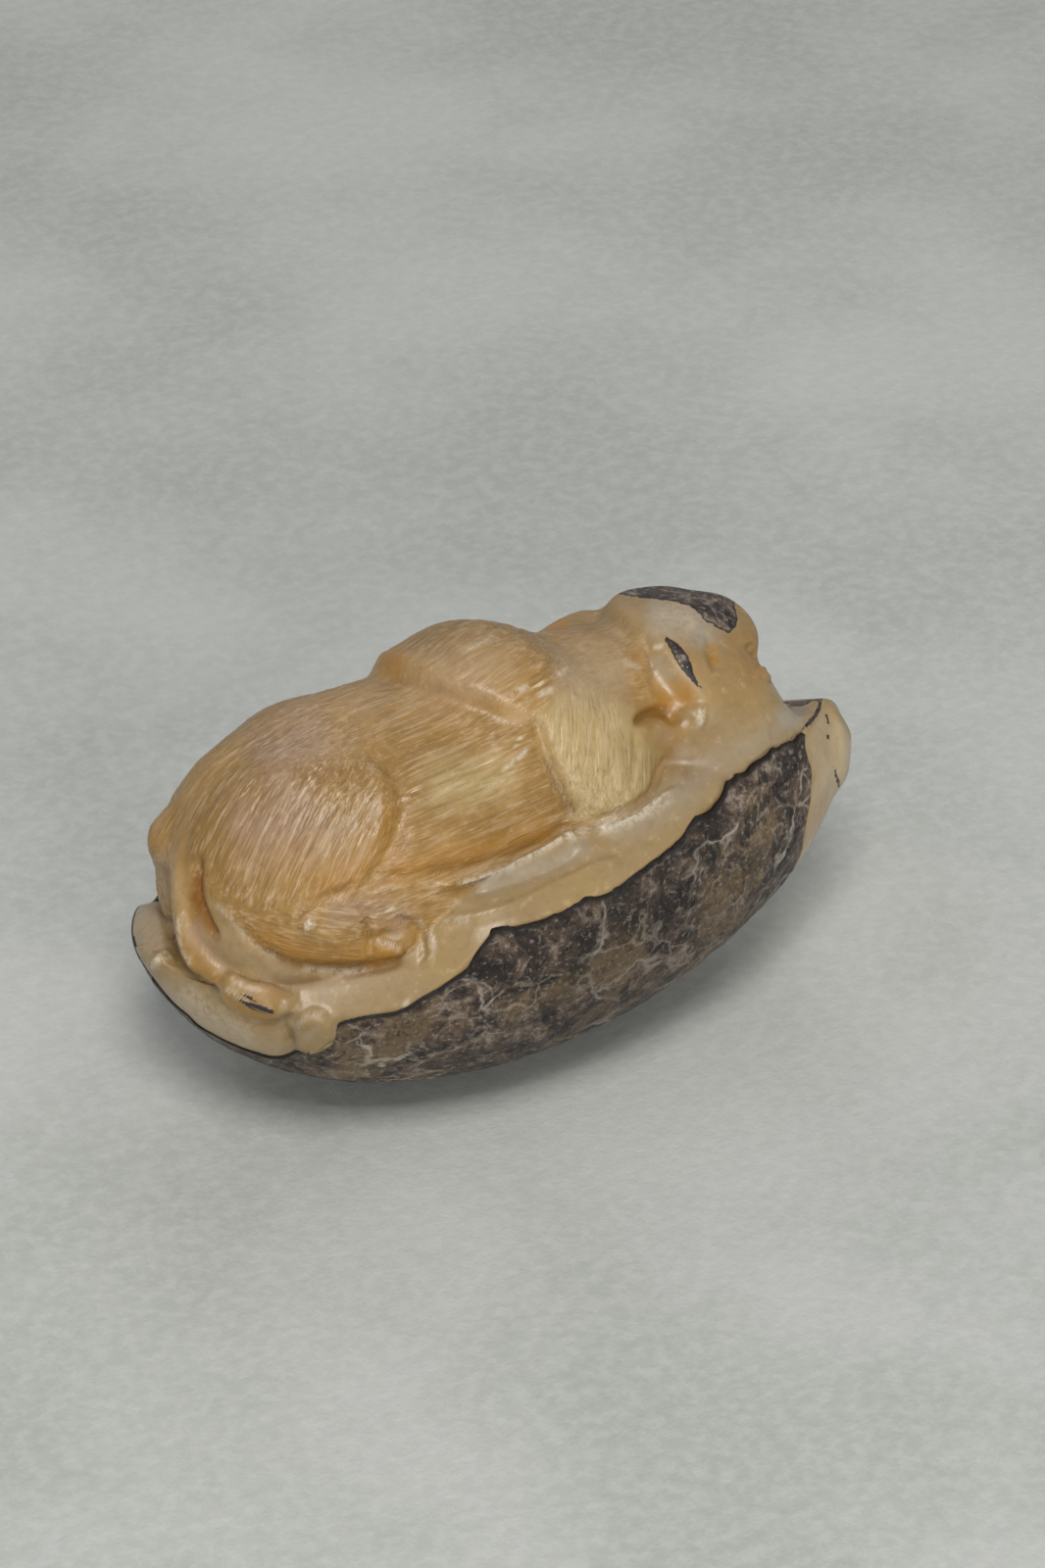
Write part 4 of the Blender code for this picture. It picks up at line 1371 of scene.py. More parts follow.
    # Painted shade: dark amber filling the tail's slit
    slit_shade: Outline = Outline((
        (203, 872), (206, 890), (208, 908), (212, 928), (217, 945), (224, 960), (214, 957), (205, 944),
        (198, 930),
        (192, 918), (194, 903), (198, 888),
    ))
    thigh: Outline = Outline((
        (170, 815), (215, 790), (270, 778), (330, 772), (368, 762), (392, 777), (411, 818), (394, 874),
        (350, 924),
        (310, 925), (262, 935), (225, 915), (200, 880), (150, 850),
    ))
    flank: Outline = Outline((
        (150, 860), (175, 800), (215, 762), (262, 725), (320, 708), (366, 725), (385, 752), (411, 800),
        (390, 830),
        (200, 850),
    ))
    shank: Outline = Outline((
        (215, 905), (262, 935), (310, 925), (350, 924), (385, 935), (385, 992), (300, 992), (250, 965),
        (225, 930),
    ))
    leg: Outline = Outline((
        (205, 905), (217, 917), (228, 923), (238, 936), (248, 950), (262, 964), (280, 976), (300, 985),
        (335, 989),
        (384, 988), (430, 985), (445, 1000), (300, 1014), (235, 1002), (205, 960),
    ))
    crown: Outline = Outline((
        (620, 604), (630, 606), (645, 609), (660, 611), (676, 612), (688, 614), (698, 617), (708, 621),
        (714, 627), (719, 633),
        (726, 637), (736, 643), (744, 646), (750, 641), (753, 632), (750, 620), (742, 560), (600, 560),
    ))
    scraps: tuple[Outline, ...] = (
        Outline(((676, 648), (686, 653), (695, 660), (701, 668), (705, 677), (708, 688), (712, 696),
                 (720, 706), (711, 701),
                 (703, 692), (695, 683), (688, 671), (682, 660))),
        Outline(((797, 716), (811, 711), (824, 708), (840, 707), (838, 714), (828, 716), (818, 721),
                 (806, 721))),
        Outline(((816, 749), (822, 738), (830, 729), (834, 721), (836, 709), (840, 709), (838, 722),
                 (834, 731), (826, 740))),
        Outline(((841, 728), (844, 729), (847, 739), (844, 738))),
        Outline(((843, 749), (846, 750), (847, 755), (844, 755))),
        Outline(((850, 781), (852, 784), (856, 794), (858, 803), (855, 804), (852, 793))),
    )

    @staticmethod
    def within(outline: Outline, across: Array, down: Array, soft: float) -> Array:
        """How far places of the sheet lie inside an outline, from 0 to 1, over a soft border."""
        return smooth_step(outline.inside(across, down) / SHEET.unit, soft)

    def measure(self, points: Array, normals: Array) -> dict[str, Array]:
        """Work out how far each point belongs to each zone, from 0 to 1.

        Args:
            points: Places on the ivory in millimetres.
            normals: Unit normals there.

        Returns:
            Values by zone name; "scrap" is a distance in millimetres, positive inside a scrap of shell.
        """
        carving = self.carving
        animal = carving.animal(points)
        tail = carving.tail.distance(points)
        body, head = carving.body.distance(points), carving.head.distance(points)
        on_ledge = smooth_step(np.minimum(animal, tail) - 0.12, 0.25)
        x, y, z = points.T
        across, down, towards = SHEET.place(points)
        facing = SHEET.facing(normals)
        seen = smooth_step(normals @ SHEET.axes()[2] - 0.02, 0.20)
        mane = smooth_step(x - carving.body.mane_edge.at(y) - 0.2, 0.6) * (1.0 - smooth_step(x - 6.0, 3.0))
        chest = self.within(self.chest, across, down, 1.6) * facing
        stains_and_painted_light = {}
        for name in ("amber_shade", "rose", "grey", "straw", "brown", "painted_highlight", "painted_light", "ink"):
            strength = sum(line.depth * line.share(across, down, towards) for line in getattr(self, name))
            stains_and_painted_light[name] = seen * np.clip(strength, 0.0, 1.0)
        for name, soft in (("slit_shade", 0.5), ("thigh", 2.2), ("shank", 0.8), ("leg", 0.4), ("flank", 2.8)):
            stains_and_painted_light[name] = facing * self.within(getattr(self, name), across, down, soft)
        # How closed in each point is: sets the painted shade in hollows and the duller polish there
        open_share = np.ones(len(points))
        for height in (0.35, 0.9, 2.2):
            gap = carving.distance(points + normals * height) / height
            open_share *= np.clip(0.25 + 0.75 * gap, 0.0, 1.0) ** 0.6
        scrap = np.minimum(self.crown.inside(across, down) / SHEET.unit, 8.0 * (z - 10.0))
        for outline in self.scraps:
            inside = outline.inside(across, down) / SHEET.unit
            scrap = np.maximum(scrap, np.where(facing > 0.5, inside, -1.0))
        boss = smooth_step(x - carving.edge.end.at(np.degrees(np.arctan2(-y, -z))) - 0.2, 0.5)
        boss = boss * on_ledge * (1.0 - smooth_step(carving.ledge.distance(points) + 0.35, 0.5))
        bare = facing * self.within(self.smooth_face, across, down, 1.2)
        furry = (1.0 - on_ledge) * smooth_step(head - body + 1.2, 2.4) * smooth_step(tail - 0.5, 0.8)
        furry *= 1.0 - bare
        furry *= 1.0 - stains_and_painted_light["leg"]
        furry *= 1.0 - 0.75 * bell(x - carving.body.mane_edge.at(y) - 0.3, 0.9) * smooth_step(y + 6.8, 1.5)
        claws = np.minimum.reduce([claw.distance(points) for claw in carving.body.claws])
        furry *= 1.0 - smooth_step(0.5 - claws, 0.5)
        neck = smooth_step(x - 5.0, 3.0)
        return {
            "ledge": on_ledge,
            "mane": mane,
            "chest": chest,
            "cavity": 1.0 - open_share,
            "scrap": scrap,
            "boss": boss,
            "furry": furry * (1.0 - 0.35 * neck),
            "head": smooth_step(body - head, 1.5) * (1.0 - on_ledge),
            **stains_and_painted_light,
        }


# Materials
class Graph:
    """A node material put together call by call."""

    def __init__(self, name: str) -> None:
        """Make an empty material with its shader.

        Args:
            name: Name of the material.
        """
        self.material = bpy.data.materials.new(name)
        self.material.use_nodes = True
        self.tree = self.material.node_tree
        self.shader = self.tree.nodes["Principled BSDF"]
        self.places = self.add("ShaderNodeTexCoord").outputs["Object"]

    def add(self, kind: str, **settings: object) -> bpy.types.Node:
        """Add a node and set its own properties.

        Args:
            kind: Type of the node.
            settings: Its properties, by name.

        Returns:
            The new node.
        """
        node = self.tree.nodes.new(kind)
        for key, value in settings.items():
            setattr(node, key, value)
        return node

    def put(self, socket: Socket, value: object) -> None:
        """Link or set one input.

        Args:
            socket: The input.
            value: A socket to link, or a value to set.
        """
        if isinstance(value, Socket):
            self.tree.links.new(value, socket)
        elif isinstance(value, tuple) and len(value) == 3 and socket.type == "RGBA":
            socket.default_value = (*value, 1.0)
        else:
            socket.default_value = value

    def set(self, **values: object) -> None:
        """Set or link the shader's inputs, with underscores for the spaces in their names."""
        for key, value in values.items():
            self.put(self.shader.inputs[key.replace("_", " ")], value)

    def layer(self, name: str) -> Socket:
        """Read a value that the mesh carries."""
        return self.add("ShaderNodeAttribute", attribute_name=name).outputs["Fac"]

    def noise(self, scale: float, detail: float = 3.0, rough: float = 0.5, warp: float = 0.0) -> Socket:
        """Noise with cells of 1 / scale metres.

        Args:
            scale: Cells to a metre.
            detail: Number of finer layers.
            rough: Weight of the finer layers.
            warp: How far the cells are pushed about.

        Returns:
            Values round about 0.5.
        """
        node = self.add("ShaderNodeTexNoise")
        self.put(node.inputs["Vector"], self.places)
        node.inputs["Scale"].default_value = scale
        node.inputs["Detail"].default_value = detail
        node.inputs["Roughness"].default_value = rough
        node.inputs["Distortion"].default_value = warp
        return node.outputs["Fac"]

    def fibres(self, way: Vec, length: float, width: float) -> Socket:
        """Noise drawn out straight along a direction, with cells of the given length and width in metres.

        Args:
            way: Direction of the fibres.
            length: Length of a cell, in metres.
            width: Width of a cell, in metres.

        Returns:
            Values round about 0.5.
        """
        mapping = self.add("ShaderNodeMapping", vector_type="TEXTURE")
        self.put(mapping.inputs["Vector"], self.places)
        turn = Vector((1.0, 0.0, 0.0)).rotation_difference(Vector(way)).to_euler()
        mapping.inputs["Rotation"].default_value = turn
        mapping.inputs["Scale"].default_value = (length, width, width)
        node = self.add("ShaderNodeTexNoise")
        self.put(node.inputs["Vector"], mapping.outputs["Vector"])
        node.inputs["Scale"].default_value = 1.0
        node.inputs["Detail"].default_value = 2.0
        return node.outputs["Fac"]

    def hair(self, length: float, width: float) -> Socket:
        """Fibres that run along each zone's own direction.

        Args:
            length: Length of a cell, in metres.
            width: Width of a cell, in metres.

        Returns:
            Values round about 0.5.
        """
        value = self.fibres((0.97, 0.10, 0.03), length, width)
        for layer, way in (
            ("flank", (0.80, 0.05, 0.45)), ("thigh", (0.62, 0.24, 0.72)), ("shank", (0.86, -0.44, -0.22)),
            ("mane", (0.95, 0.22, 0.14)), ("chest", (0.40, 0.70, 0.58)),
        ):
            node = self.add("ShaderNodeMix", data_type="FLOAT")
            self.put(node.inputs["Factor"], self.layer(layer))
            self.put(node.inputs["A"], value)
            self.put(node.inputs["B"], self.fibres(way, length, width))
            value = node.outputs["Result"]
        return value

    def math(self, operation: str, first: object, second: object = 0.0, third: object = 0.0) -> Socket:
        """One step of arithmetic.

        Args:
            operation: Name of the step.
            first: A socket or a number.
            second: A socket or a number.
            third: A socket or a number.

        Returns:
            The result.
        """
        node = self.add("ShaderNodeMath", operation=operation)
        for socket, value in zip(node.inputs, (first, second, third)):
            self.put(socket, value)
        return node.outputs["Value"]

    def span(self, value: object, low: float, high: float) -> Socket:
        """Climb smoothly from 0 at the low value to 1 at the high one.

        Args:
            value: A socket or a number.
            low: Value that gives 0.
            high: Value that gives 1.

        Returns:
            The share.
        """
        node = self.add("ShaderNodeMapRange", interpolation_type="SMOOTHSTEP")
        self.put(node.inputs["Value"], value)
        node.inputs["From Min"].default_value = low
        node.inputs["From Max"].default_value = high
        return node.outputs["Result"]

    def mix(self, share: object, first: object, second: object) -> Socket:
        """Mix two colours.

        Args:
            share: Share of the second colour.
            first: A colour or a socket.
            second: A colour or a socket.

        Returns:
            The mixed colour.
        """
        node = self.add("ShaderNodeMix", data_type="RGBA")
        self.put(node.inputs["Factor"], share)
        self.put(node.inputs[6], first)
        self.put(node.inputs[7], second)
        return node.outputs[2]

    def tint(self, under: object, over: object, value: object, share: float) -> Socket:
        """Lay a colour over another, by a share of a value."""
        return self.mix(self.math("MULTIPLY", value, share), under, over)

    def ramp(self, value: object, stops: tuple[tuple[float, Vec], ...]) -> Socket:
        """Read a colour from stops of place and colour.

        Args:
            value: A socket or a number.
            stops: Places from 0 to 1, with their colours.

        Returns:
            The colour.
        """
        node = self.add("ShaderNodeValToRGB")
        self.put(node.inputs["Fac"], value)
        elements = node.color_ramp.elements
        while len(elements) < len(stops):
            elements.new(0.5)
        for element, (place, colour) in zip(elements, stops):
            element.position, element.color = place, (*colour, 1.0)
        return node.outputs["Color"]

    def bump(self, height: object, distance: float, strength: float = 1.0, under: object = None) -> Socket:
        """Fine relief of the given height in metres.

        Args:
            height: Height from 0 to 1.
            distance: Height that 1 stands for, in metres.
            strength: Share of the relief that shows.
            under: Relief that this one lies on.

        Returns:
            The normal.
        """
        node = self.add("ShaderNodeBump")
        self.put(node.inputs["Height"], height)
        node.inputs["Distance"].default_value = distance
        node.inputs["Strength"].default_value = strength
        if under is not None:
            self.put(node.inputs["Normal"], under)
        return node.outputs["Normal"]


def tone(code: str) -> Vec:
    """A colour given as six hexadecimal digits, as linear light."""
    shares = [int(code[place:place + 2], 16) / 255.0 for place in (0, 2, 4)]
    return tuple(share / 12.92 if share <= 0.04045 else ((share + 0.055) / 1.055) ** 2.4 for share in shares)


@dataclass(frozen=True)
class ShellTones:
    """Colours of the dark shell, for the skin and for the scraps left on the carving."""

    deep: Vec = tone("15100E")
    body: Vec = tone("3E332F")
    warm: Vec = tone("6C5848")
    ochre: Vec = tone("8C7452")
    vein: Vec = tone("B5A999")
    rim: Vec = tone("1E1917")

    def colour(self, graph: Graph) -> Socket:
        """Flaky dark brown with speckle, ochre patches and pale branching veins.

        Args:
            graph: The material.

        Returns:
            The colour.
        """
        flakes = graph.noise(330.0, 8.0, 0.72, warp=1.1)
        tones = ((0.36, self.deep), (0.47, self.body), (0.56, self.warm), (0.70, self.vein))
        base = graph.ramp(flakes, tones)
        # Ochre patches, dark patches, pale speckle, dark pits: noise, its span, and share of the colour
        for scale, detail, rough, warp, low, high, share, over in (
            (120.0, 4.0, 0.60, 0.8, 0.52, 0.66, 0.55, self.ochre),
            (210.0, 5.0, 0.65, 0.9, 0.50, 0.60, 0.60, self.deep),
            (2600.0, 3.0, 0.70, 0.0, 0.54, 0.66, 0.46, self.vein),
            (1900.0, 3.0, 0.70, 0.0, 0.46, 0.36, 0.55, self.deep),
        ):
            patch = graph.span(graph.noise(scale, detail, rough, warp), low, high)
            base = graph.tint(base, over, patch, share)
        for scale, width, share, seed in ((130.0, 0.035, 0.85, 260.0), (330.0, 0.045, 0.45, 420.0)):
            base = graph.tint(base, self.vein, self.veins(graph, scale, width, seed), share)
        return base

    @staticmethod
    def veins(graph: Graph, scale: float, width: float, seed: float) -> Socket:
        """Broken lines along the borders of warped Voronoi cells.

        Args:
            graph: The material.
            scale: Cells to a metre.
            width: Width of a line, as a share of a cell.
            seed: Cells of the warp to a metre.

        Returns:
            Share of the lines, from 0 to 1.
        """
        web = graph.add("ShaderNodeTexVoronoi", feature="DISTANCE_TO_EDGE")
        warped = graph.add("ShaderNodeVectorMath", operation="MULTIPLY_ADD")
        swirl = graph.add("ShaderNodeTexNoise")
        graph.put(swirl.inputs["Vector"], graph.places)
        swirl.inputs["Scale"].default_value = seed
        swirl.inputs["Detail"].default_value = 5.0
        graph.put(warped.inputs[0], swirl.outputs["Color"])
        warped.inputs[1].default_value = (0.9 / scale, 0.9 / scale, 0.9 / scale)
        graph.put(warped.inputs[2], graph.places)
        graph.put(web.inputs["Vector"], warped.outputs["Vector"])
        web.inputs["Scale"].default_value = scale
        line = graph.math("SUBTRACT", 1.0, graph.span(web.outputs["Distance"], 0.0, width))
        return graph.math("MULTIPLY", line, graph.span(graph.noise(seed * 0.7, 3.0, 0.6), 0.46, 0.60))


@dataclass(frozen=True)
class IvoryFinish:
    """Polished palm ivory: peach-tan coat, grey-beige ledge and cream boss, with painted shade, light and
    highlights, and scraps of shell.
    """

    gold: Vec = tone("AE884F")
    tan: Vec = tone("98763F")
    rose: Vec = tone("A88A72")
    # Amber of the painted shade and glow in creases and thin parts
    amber_shade: Vec = tone("A5721F")
    # Dark amber of the painted shade in the tail's slit
    slit_shade: Vec = tone("82520E")
    # Pale colour of the painted light
    painted_light: Vec = tone("B39B7A")
    ink: Vec = tone("2C2430")
    # Dark brown of the painted shade in hollows
    deep: Vec = tone("6A4014")
    # Dark brown of the painted shade in creases and hollows
    brown: Vec = tone("5C3A16")
    # Whitish colour of the painted highlights
    painted_highlight: Vec = tone("D6CBB6")
    # Straw: the chest's own pale tone, and painted light on the belly
    straw: Vec = tone("BFAA7A")
    stone: Vec = tone("998058")
    grey: Vec = tone("A39A8A")
    cream: Vec = tone("BCA884")
    warm_stone: Vec = tone("A08558")
    warm_cream: Vec = tone("AE9470")
    # Darker colour of the painted shade in the knife strokes' grooves
    cut: Vec = tone("86602C")
    # Pale colour of the painted glints in some strokes
    fleck_glint: Vec = tone("DCCAAA")
    # Painted highlight and painted shade of the single hairs and locks
    strand_highlight: Vec = tone("CDB594")
    strand_shade: Vec = tone("7A5A30")
    light_grain: Vec = tone("D9C39A")
    dark_grain: Vec = tone("5E421F")
    scrap_rim: Vec = tone("1F1A18")
    shell: ShellTones = ShellTones()

    def coat(self, graph: Graph, cloud: Socket, hair: Socket, lock: Socket) -> Socket:
        """Coat colour: tan, rose and pale yellow clouds, painted light on the belly, painted shade in the
        cuts, painted highlights and shade on the strands, painted glints.

        Args:
            graph: The material.
            cloud: Broad noise.
            hair: Noise of the single hairs.
            lock: Noise of the locks of hair.

        Returns:
            The colour.
        """
        coat = graph.mix(graph.span(cloud, 0.38, 0.62), self.tan, self.gold)
        coat = graph.mix(graph.layer("rose"), coat, self.rose)
        # Painted shade in the strokes' grooves, painted light of the straw lines on the belly, and the
        # chest's own pale straw
        for name, share, over in (
            ("cuts", 0.40, self.cut), ("straw", 0.8, self.straw), ("chest", 0.65, self.straw),
        ):
            coat = graph.tint(coat, over, graph.layer(name), share)
        # Painted highlights on the crests of the hairs that the bump raises, and painted shade in the grooves
        # between them
        for strands, share in ((lock, 0.28), (hair, 0.34)):
            for low, high, over in ((0.52, 0.68, self.strand_highlight), (0.47, 0.32, self.strand_shade)):
                some = graph.math("MULTIPLY", graph.span(strands, low, high), graph.layer("furry"))
                coat = graph.tint(coat, over, some, share)
        # Painted glints: pale thin flecks inside the marked strokes
        pale = graph.span(graph.layer("pale"), 0.1, 0.8)
        fleck = graph.math("MULTIPLY", pale, graph.span(hair, 0.50, 0.62))
        return graph.tint(coat, self.fleck_glint, fleck, 0.60)

    def scraps(self, graph: Graph, colour: Socket) -> tuple[Socket, Socket]:
        """Lay the ragged scraps of shell, with a dark rim, and the dark streak of the tuft over the ivory.

        Args:
            graph: The material.
            colour: Colour of the ivory.

        Returns:
            The colour, and the share of scrap.
        """
        torn = graph.math("MULTIPLY_ADD", graph.noise(2600.0, 3.0, 0.6), 0.30, -0.15)
        ragged = graph.math("ADD", graph.layer("scrap"), torn)
        scrap = graph.span(ragged, -0.015, 0.03)
        rim = graph.math("MULTIPLY", scrap, graph.math("SUBTRACT", 1.0, graph.span(ragged, 0.02, 0.22)))
        colour = graph.mix(scrap, colour, graph.mix(rim, self.shell.colour(graph), self.scrap_rim))
        strands = graph.fibres((0.80, -0.50, -0.40), 0.003, 0.00022)
        inked = graph.math("MULTIPLY", graph.layer("ink"), graph.math("MULTIPLY_ADD", strands, 3.0, -0.9))
        return graph.mix(graph.span(inked, 0.30, 0.60), colour, self.ink), scrap

    def material(self) -> bpy.types.Material:
        """Build the material.

        Returns:
            The material.
        """
        graph = Graph("palm_ivory_carved")
        cloud, grain = graph.noise(170.0, 3.0, 0.5, 0.3), graph.noise(1500.0, 4.0, 0.65)
        hair, lock = graph.hair(0.0024, 0.00018), graph.hair(0.0050, 0.00045)
        plain = graph.math("MAXIMUM", graph.layer("head"), graph.layer("leg"))
        colour = graph.tint(self.coat(graph, cloud, hair, lock), self.stone, plain, 0.6)
        ledge = graph.mix(graph.span(cloud, 0.38, 0.62), self.stone, self.warm_stone)
        colour = graph.mix(graph.layer("ledge"), colour, ledge)
        colour = graph.tint(colour, self.grey, graph.layer("grey"), 0.8)
        boss = graph.mix(graph.span(cloud, 0.4, 0.6), self.cream, self.warm_cream)
        colour = graph.mix(graph.layer("boss"), colour, boss)
        cavity = graph.layer("cavity")
        # Painted shade: darker the more closed in a point is
        colour = graph.tint(colour, self.deep, graph.span(cavity, 0.30, 0.95), 0.75)
        # Painted amber shade and glow, brown shade, pale painted light and slit shade, each by its lines
        for name, share, over in (
            ("amber_shade", 0.80, self.amber_shade), ("brown", 0.85, self.brown), ("painted_light", 0.70, self.painted_light),
            ("slit_shade", 0.90, self.slit_shade),
        ):
            colour = graph.tint(colour, over, graph.layer(name), share)
        # Painted highlights, broken into crumbs by noise
        crumbs = graph.span(graph.noise(2400.0, 4.0, 0.7), 0.36, 0.56)
        colour = graph.tint(colour, self.painted_highlight, graph.math("MULTIPLY", graph.layer("painted_highlight"), crumbs), 0.90)
        colour = graph.tint(colour, self.light_grain, graph.span(grain, 0.55, 0.72), 0.22)
        colour = graph.tint(colour, self.dark_grain, graph.span(grain, 0.48, 0.34), 0.15)
        colour, scrap = self.scraps(graph, colour)
        rough = graph.math("MULTIPLY_ADD", graph.noise(700.0, 4.0, 0.6), 0.30, 0.20)
        for value, share in ((scrap, 0.55), (plain, 0.46), (graph.span(cavity, 0.20, 0.55), 0.62)):
            rough = graph.math("MAXIMUM", rough, graph.math("MULTIPLY", value, share))
        normal = graph.bump(graph.noise(3800.0, 3.0, 0.6), 0.000015, 0.5)
        for strands, height in ((hair, 0.00007), (lock, 0.00012)):
            normal = graph.bump(graph.math("MULTIPLY", strands, graph.layer("furry")), height, 1.0, normal)
        normal = graph.bump(graph.noise(900.0, 2.0, 0.5), 0.00005, 0.4, normal)
        graph.set(Base_Color=colour, Roughness=rough, Normal=normal, IOR=1.5)
        graph.set(Subsurface_Weight=0.17, Subsurface_Radius=(1.0, 0.7, 0.4), Subsurface_Scale=0.0007)
        return graph.material


@dataclass(frozen=True)
class ShellFinish:
    """The dark, rough outer shell of the nut."""

    shell: ShellTones = ShellTones()

    def material(self) -> bpy.types.Material:
        """Build the material.

        Returns:
            The material.
        """
        graph = Graph("palm_nut_shell")
        colour = self.shell.colour(graph)
        colour = graph.tint(colour, self.shell.deep, graph.layer("shade"), 0.32)
        colour = graph.mix(graph.layer("rim"), colour, self.shell.rim)
        scuff = graph.noise(1500.0, 6.0, 0.65, warp=0.5)
        rough = graph.math("MULTIPLY_ADD", scuff, 0.5, 0.22)
        fine = graph.bump(scuff, 0.00016, 0.9)
        normal = graph.bump(graph.noise(330.0, 8.0, 0.72, warp=1.1), 0.00045, 0.8, fine)
        graph.set(Base_Color=colour, Roughness=rough, Normal=normal, IOR=1.4)
        return graph.material


@dataclass(frozen=True)
class FloorFinish:
    """Plain pale stone."""

    pale: Vec = tone("C3C4BF")
    grey: Vec = tone("B0B2AC")
    speck: Vec = tone("D3D4CF")

    def material(self) -> bpy.types.Material:
        """Build the material.

        Returns:
            The material.
        """
        graph = Graph("pale_stone")
        cloud = graph.noise(28.0, 4.0, 0.55)
        grain = graph.noise(900.0, 4.0, 0.65)
        colour = graph.mix(graph.span(cloud, 0.35, 0.65), self.grey, self.pale)
        colour = graph.tint(colour, self.speck, graph.span(grain, 0.35, 0.7), 0.35)
        normal = graph.bump(graph.noise(1400.0, 5.0, 0.65), 0.00012, 0.6)
        graph.set(Base_Color=colour, Roughness=0.85, Normal=normal)
        return graph.material


# Pieces
def declare(piece: bpy.types.Object, material: bpy.types.Material) -> None:
    """Dress a piece, attach it to the body that it rides on, and hide the CAD node that it replaces.

    Args:
        piece: The object.
        material: Its material.
    """
    piece.data.materials.append(material)
    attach(piece, BODY)
    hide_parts(NODE)
    log.info("%s: %d faces", piece.name, len(piece.data.polygons))


@dataclass
class CarvedIvory:
    """The ivory of the nut with the animal, the ledge and the hilum boss."""

    carving: Carving = field(default_factory=Carving)
    coat: Coat = field(default_factory=Coat)
    finish: IvoryFinish = field(default_factory=IvoryFinish)
    relief: Relief = field(default_factory=Relief)

    def build(self) -> bpy.types.Object:
        """Draw the skin in, cut the strokes, and make the piece.

        Returns:
            The piece.
        """
        skin = Skin(self.carving)
        skin.rows, skin.columns = int(skin.rows * detail()), int(skin.columns * detail())
        surface = Surface(skin.points())
        normals = surface.normals()
        shape = surface.grid.shape[:2]
        points, flat = surface.grid.reshape(-1, 3), normals.reshape(-1, 3)
        zones = Zones(self.carving).measure(points, flat)
        pressed = self.relief.depth(points) * SHEET.facing(flat)
        surface.grid = surface.grid - normals * pressed.reshape(shape)[..., None]
        normals = surface.normals()
        furry = zones["furry"].reshape(shape)
        directions = self.coat.directions(surface.grid, normals)
        mane, chest = zones["mane"].reshape(shape), zones["chest"].reshape(shape)
        depth, pale = self.coat.cuts(surface.grid, normals, directions, furry, mane, chest)
        surface.grid = surface.grid - normals * depth[..., None]
        places, faces = surface.vertices_and_faces()
        layers = {name: surface.values(values.reshape(shape)) for name, values in zones.items()}
        layers["cuts"] = surface.values(depth / self.coat.fleck[2])
        layers["pale"] = surface.values(pale)
        piece = new_mesh("carved_ivory", places, faces, layers)
        declare(piece, self.finish.material())
        return piece


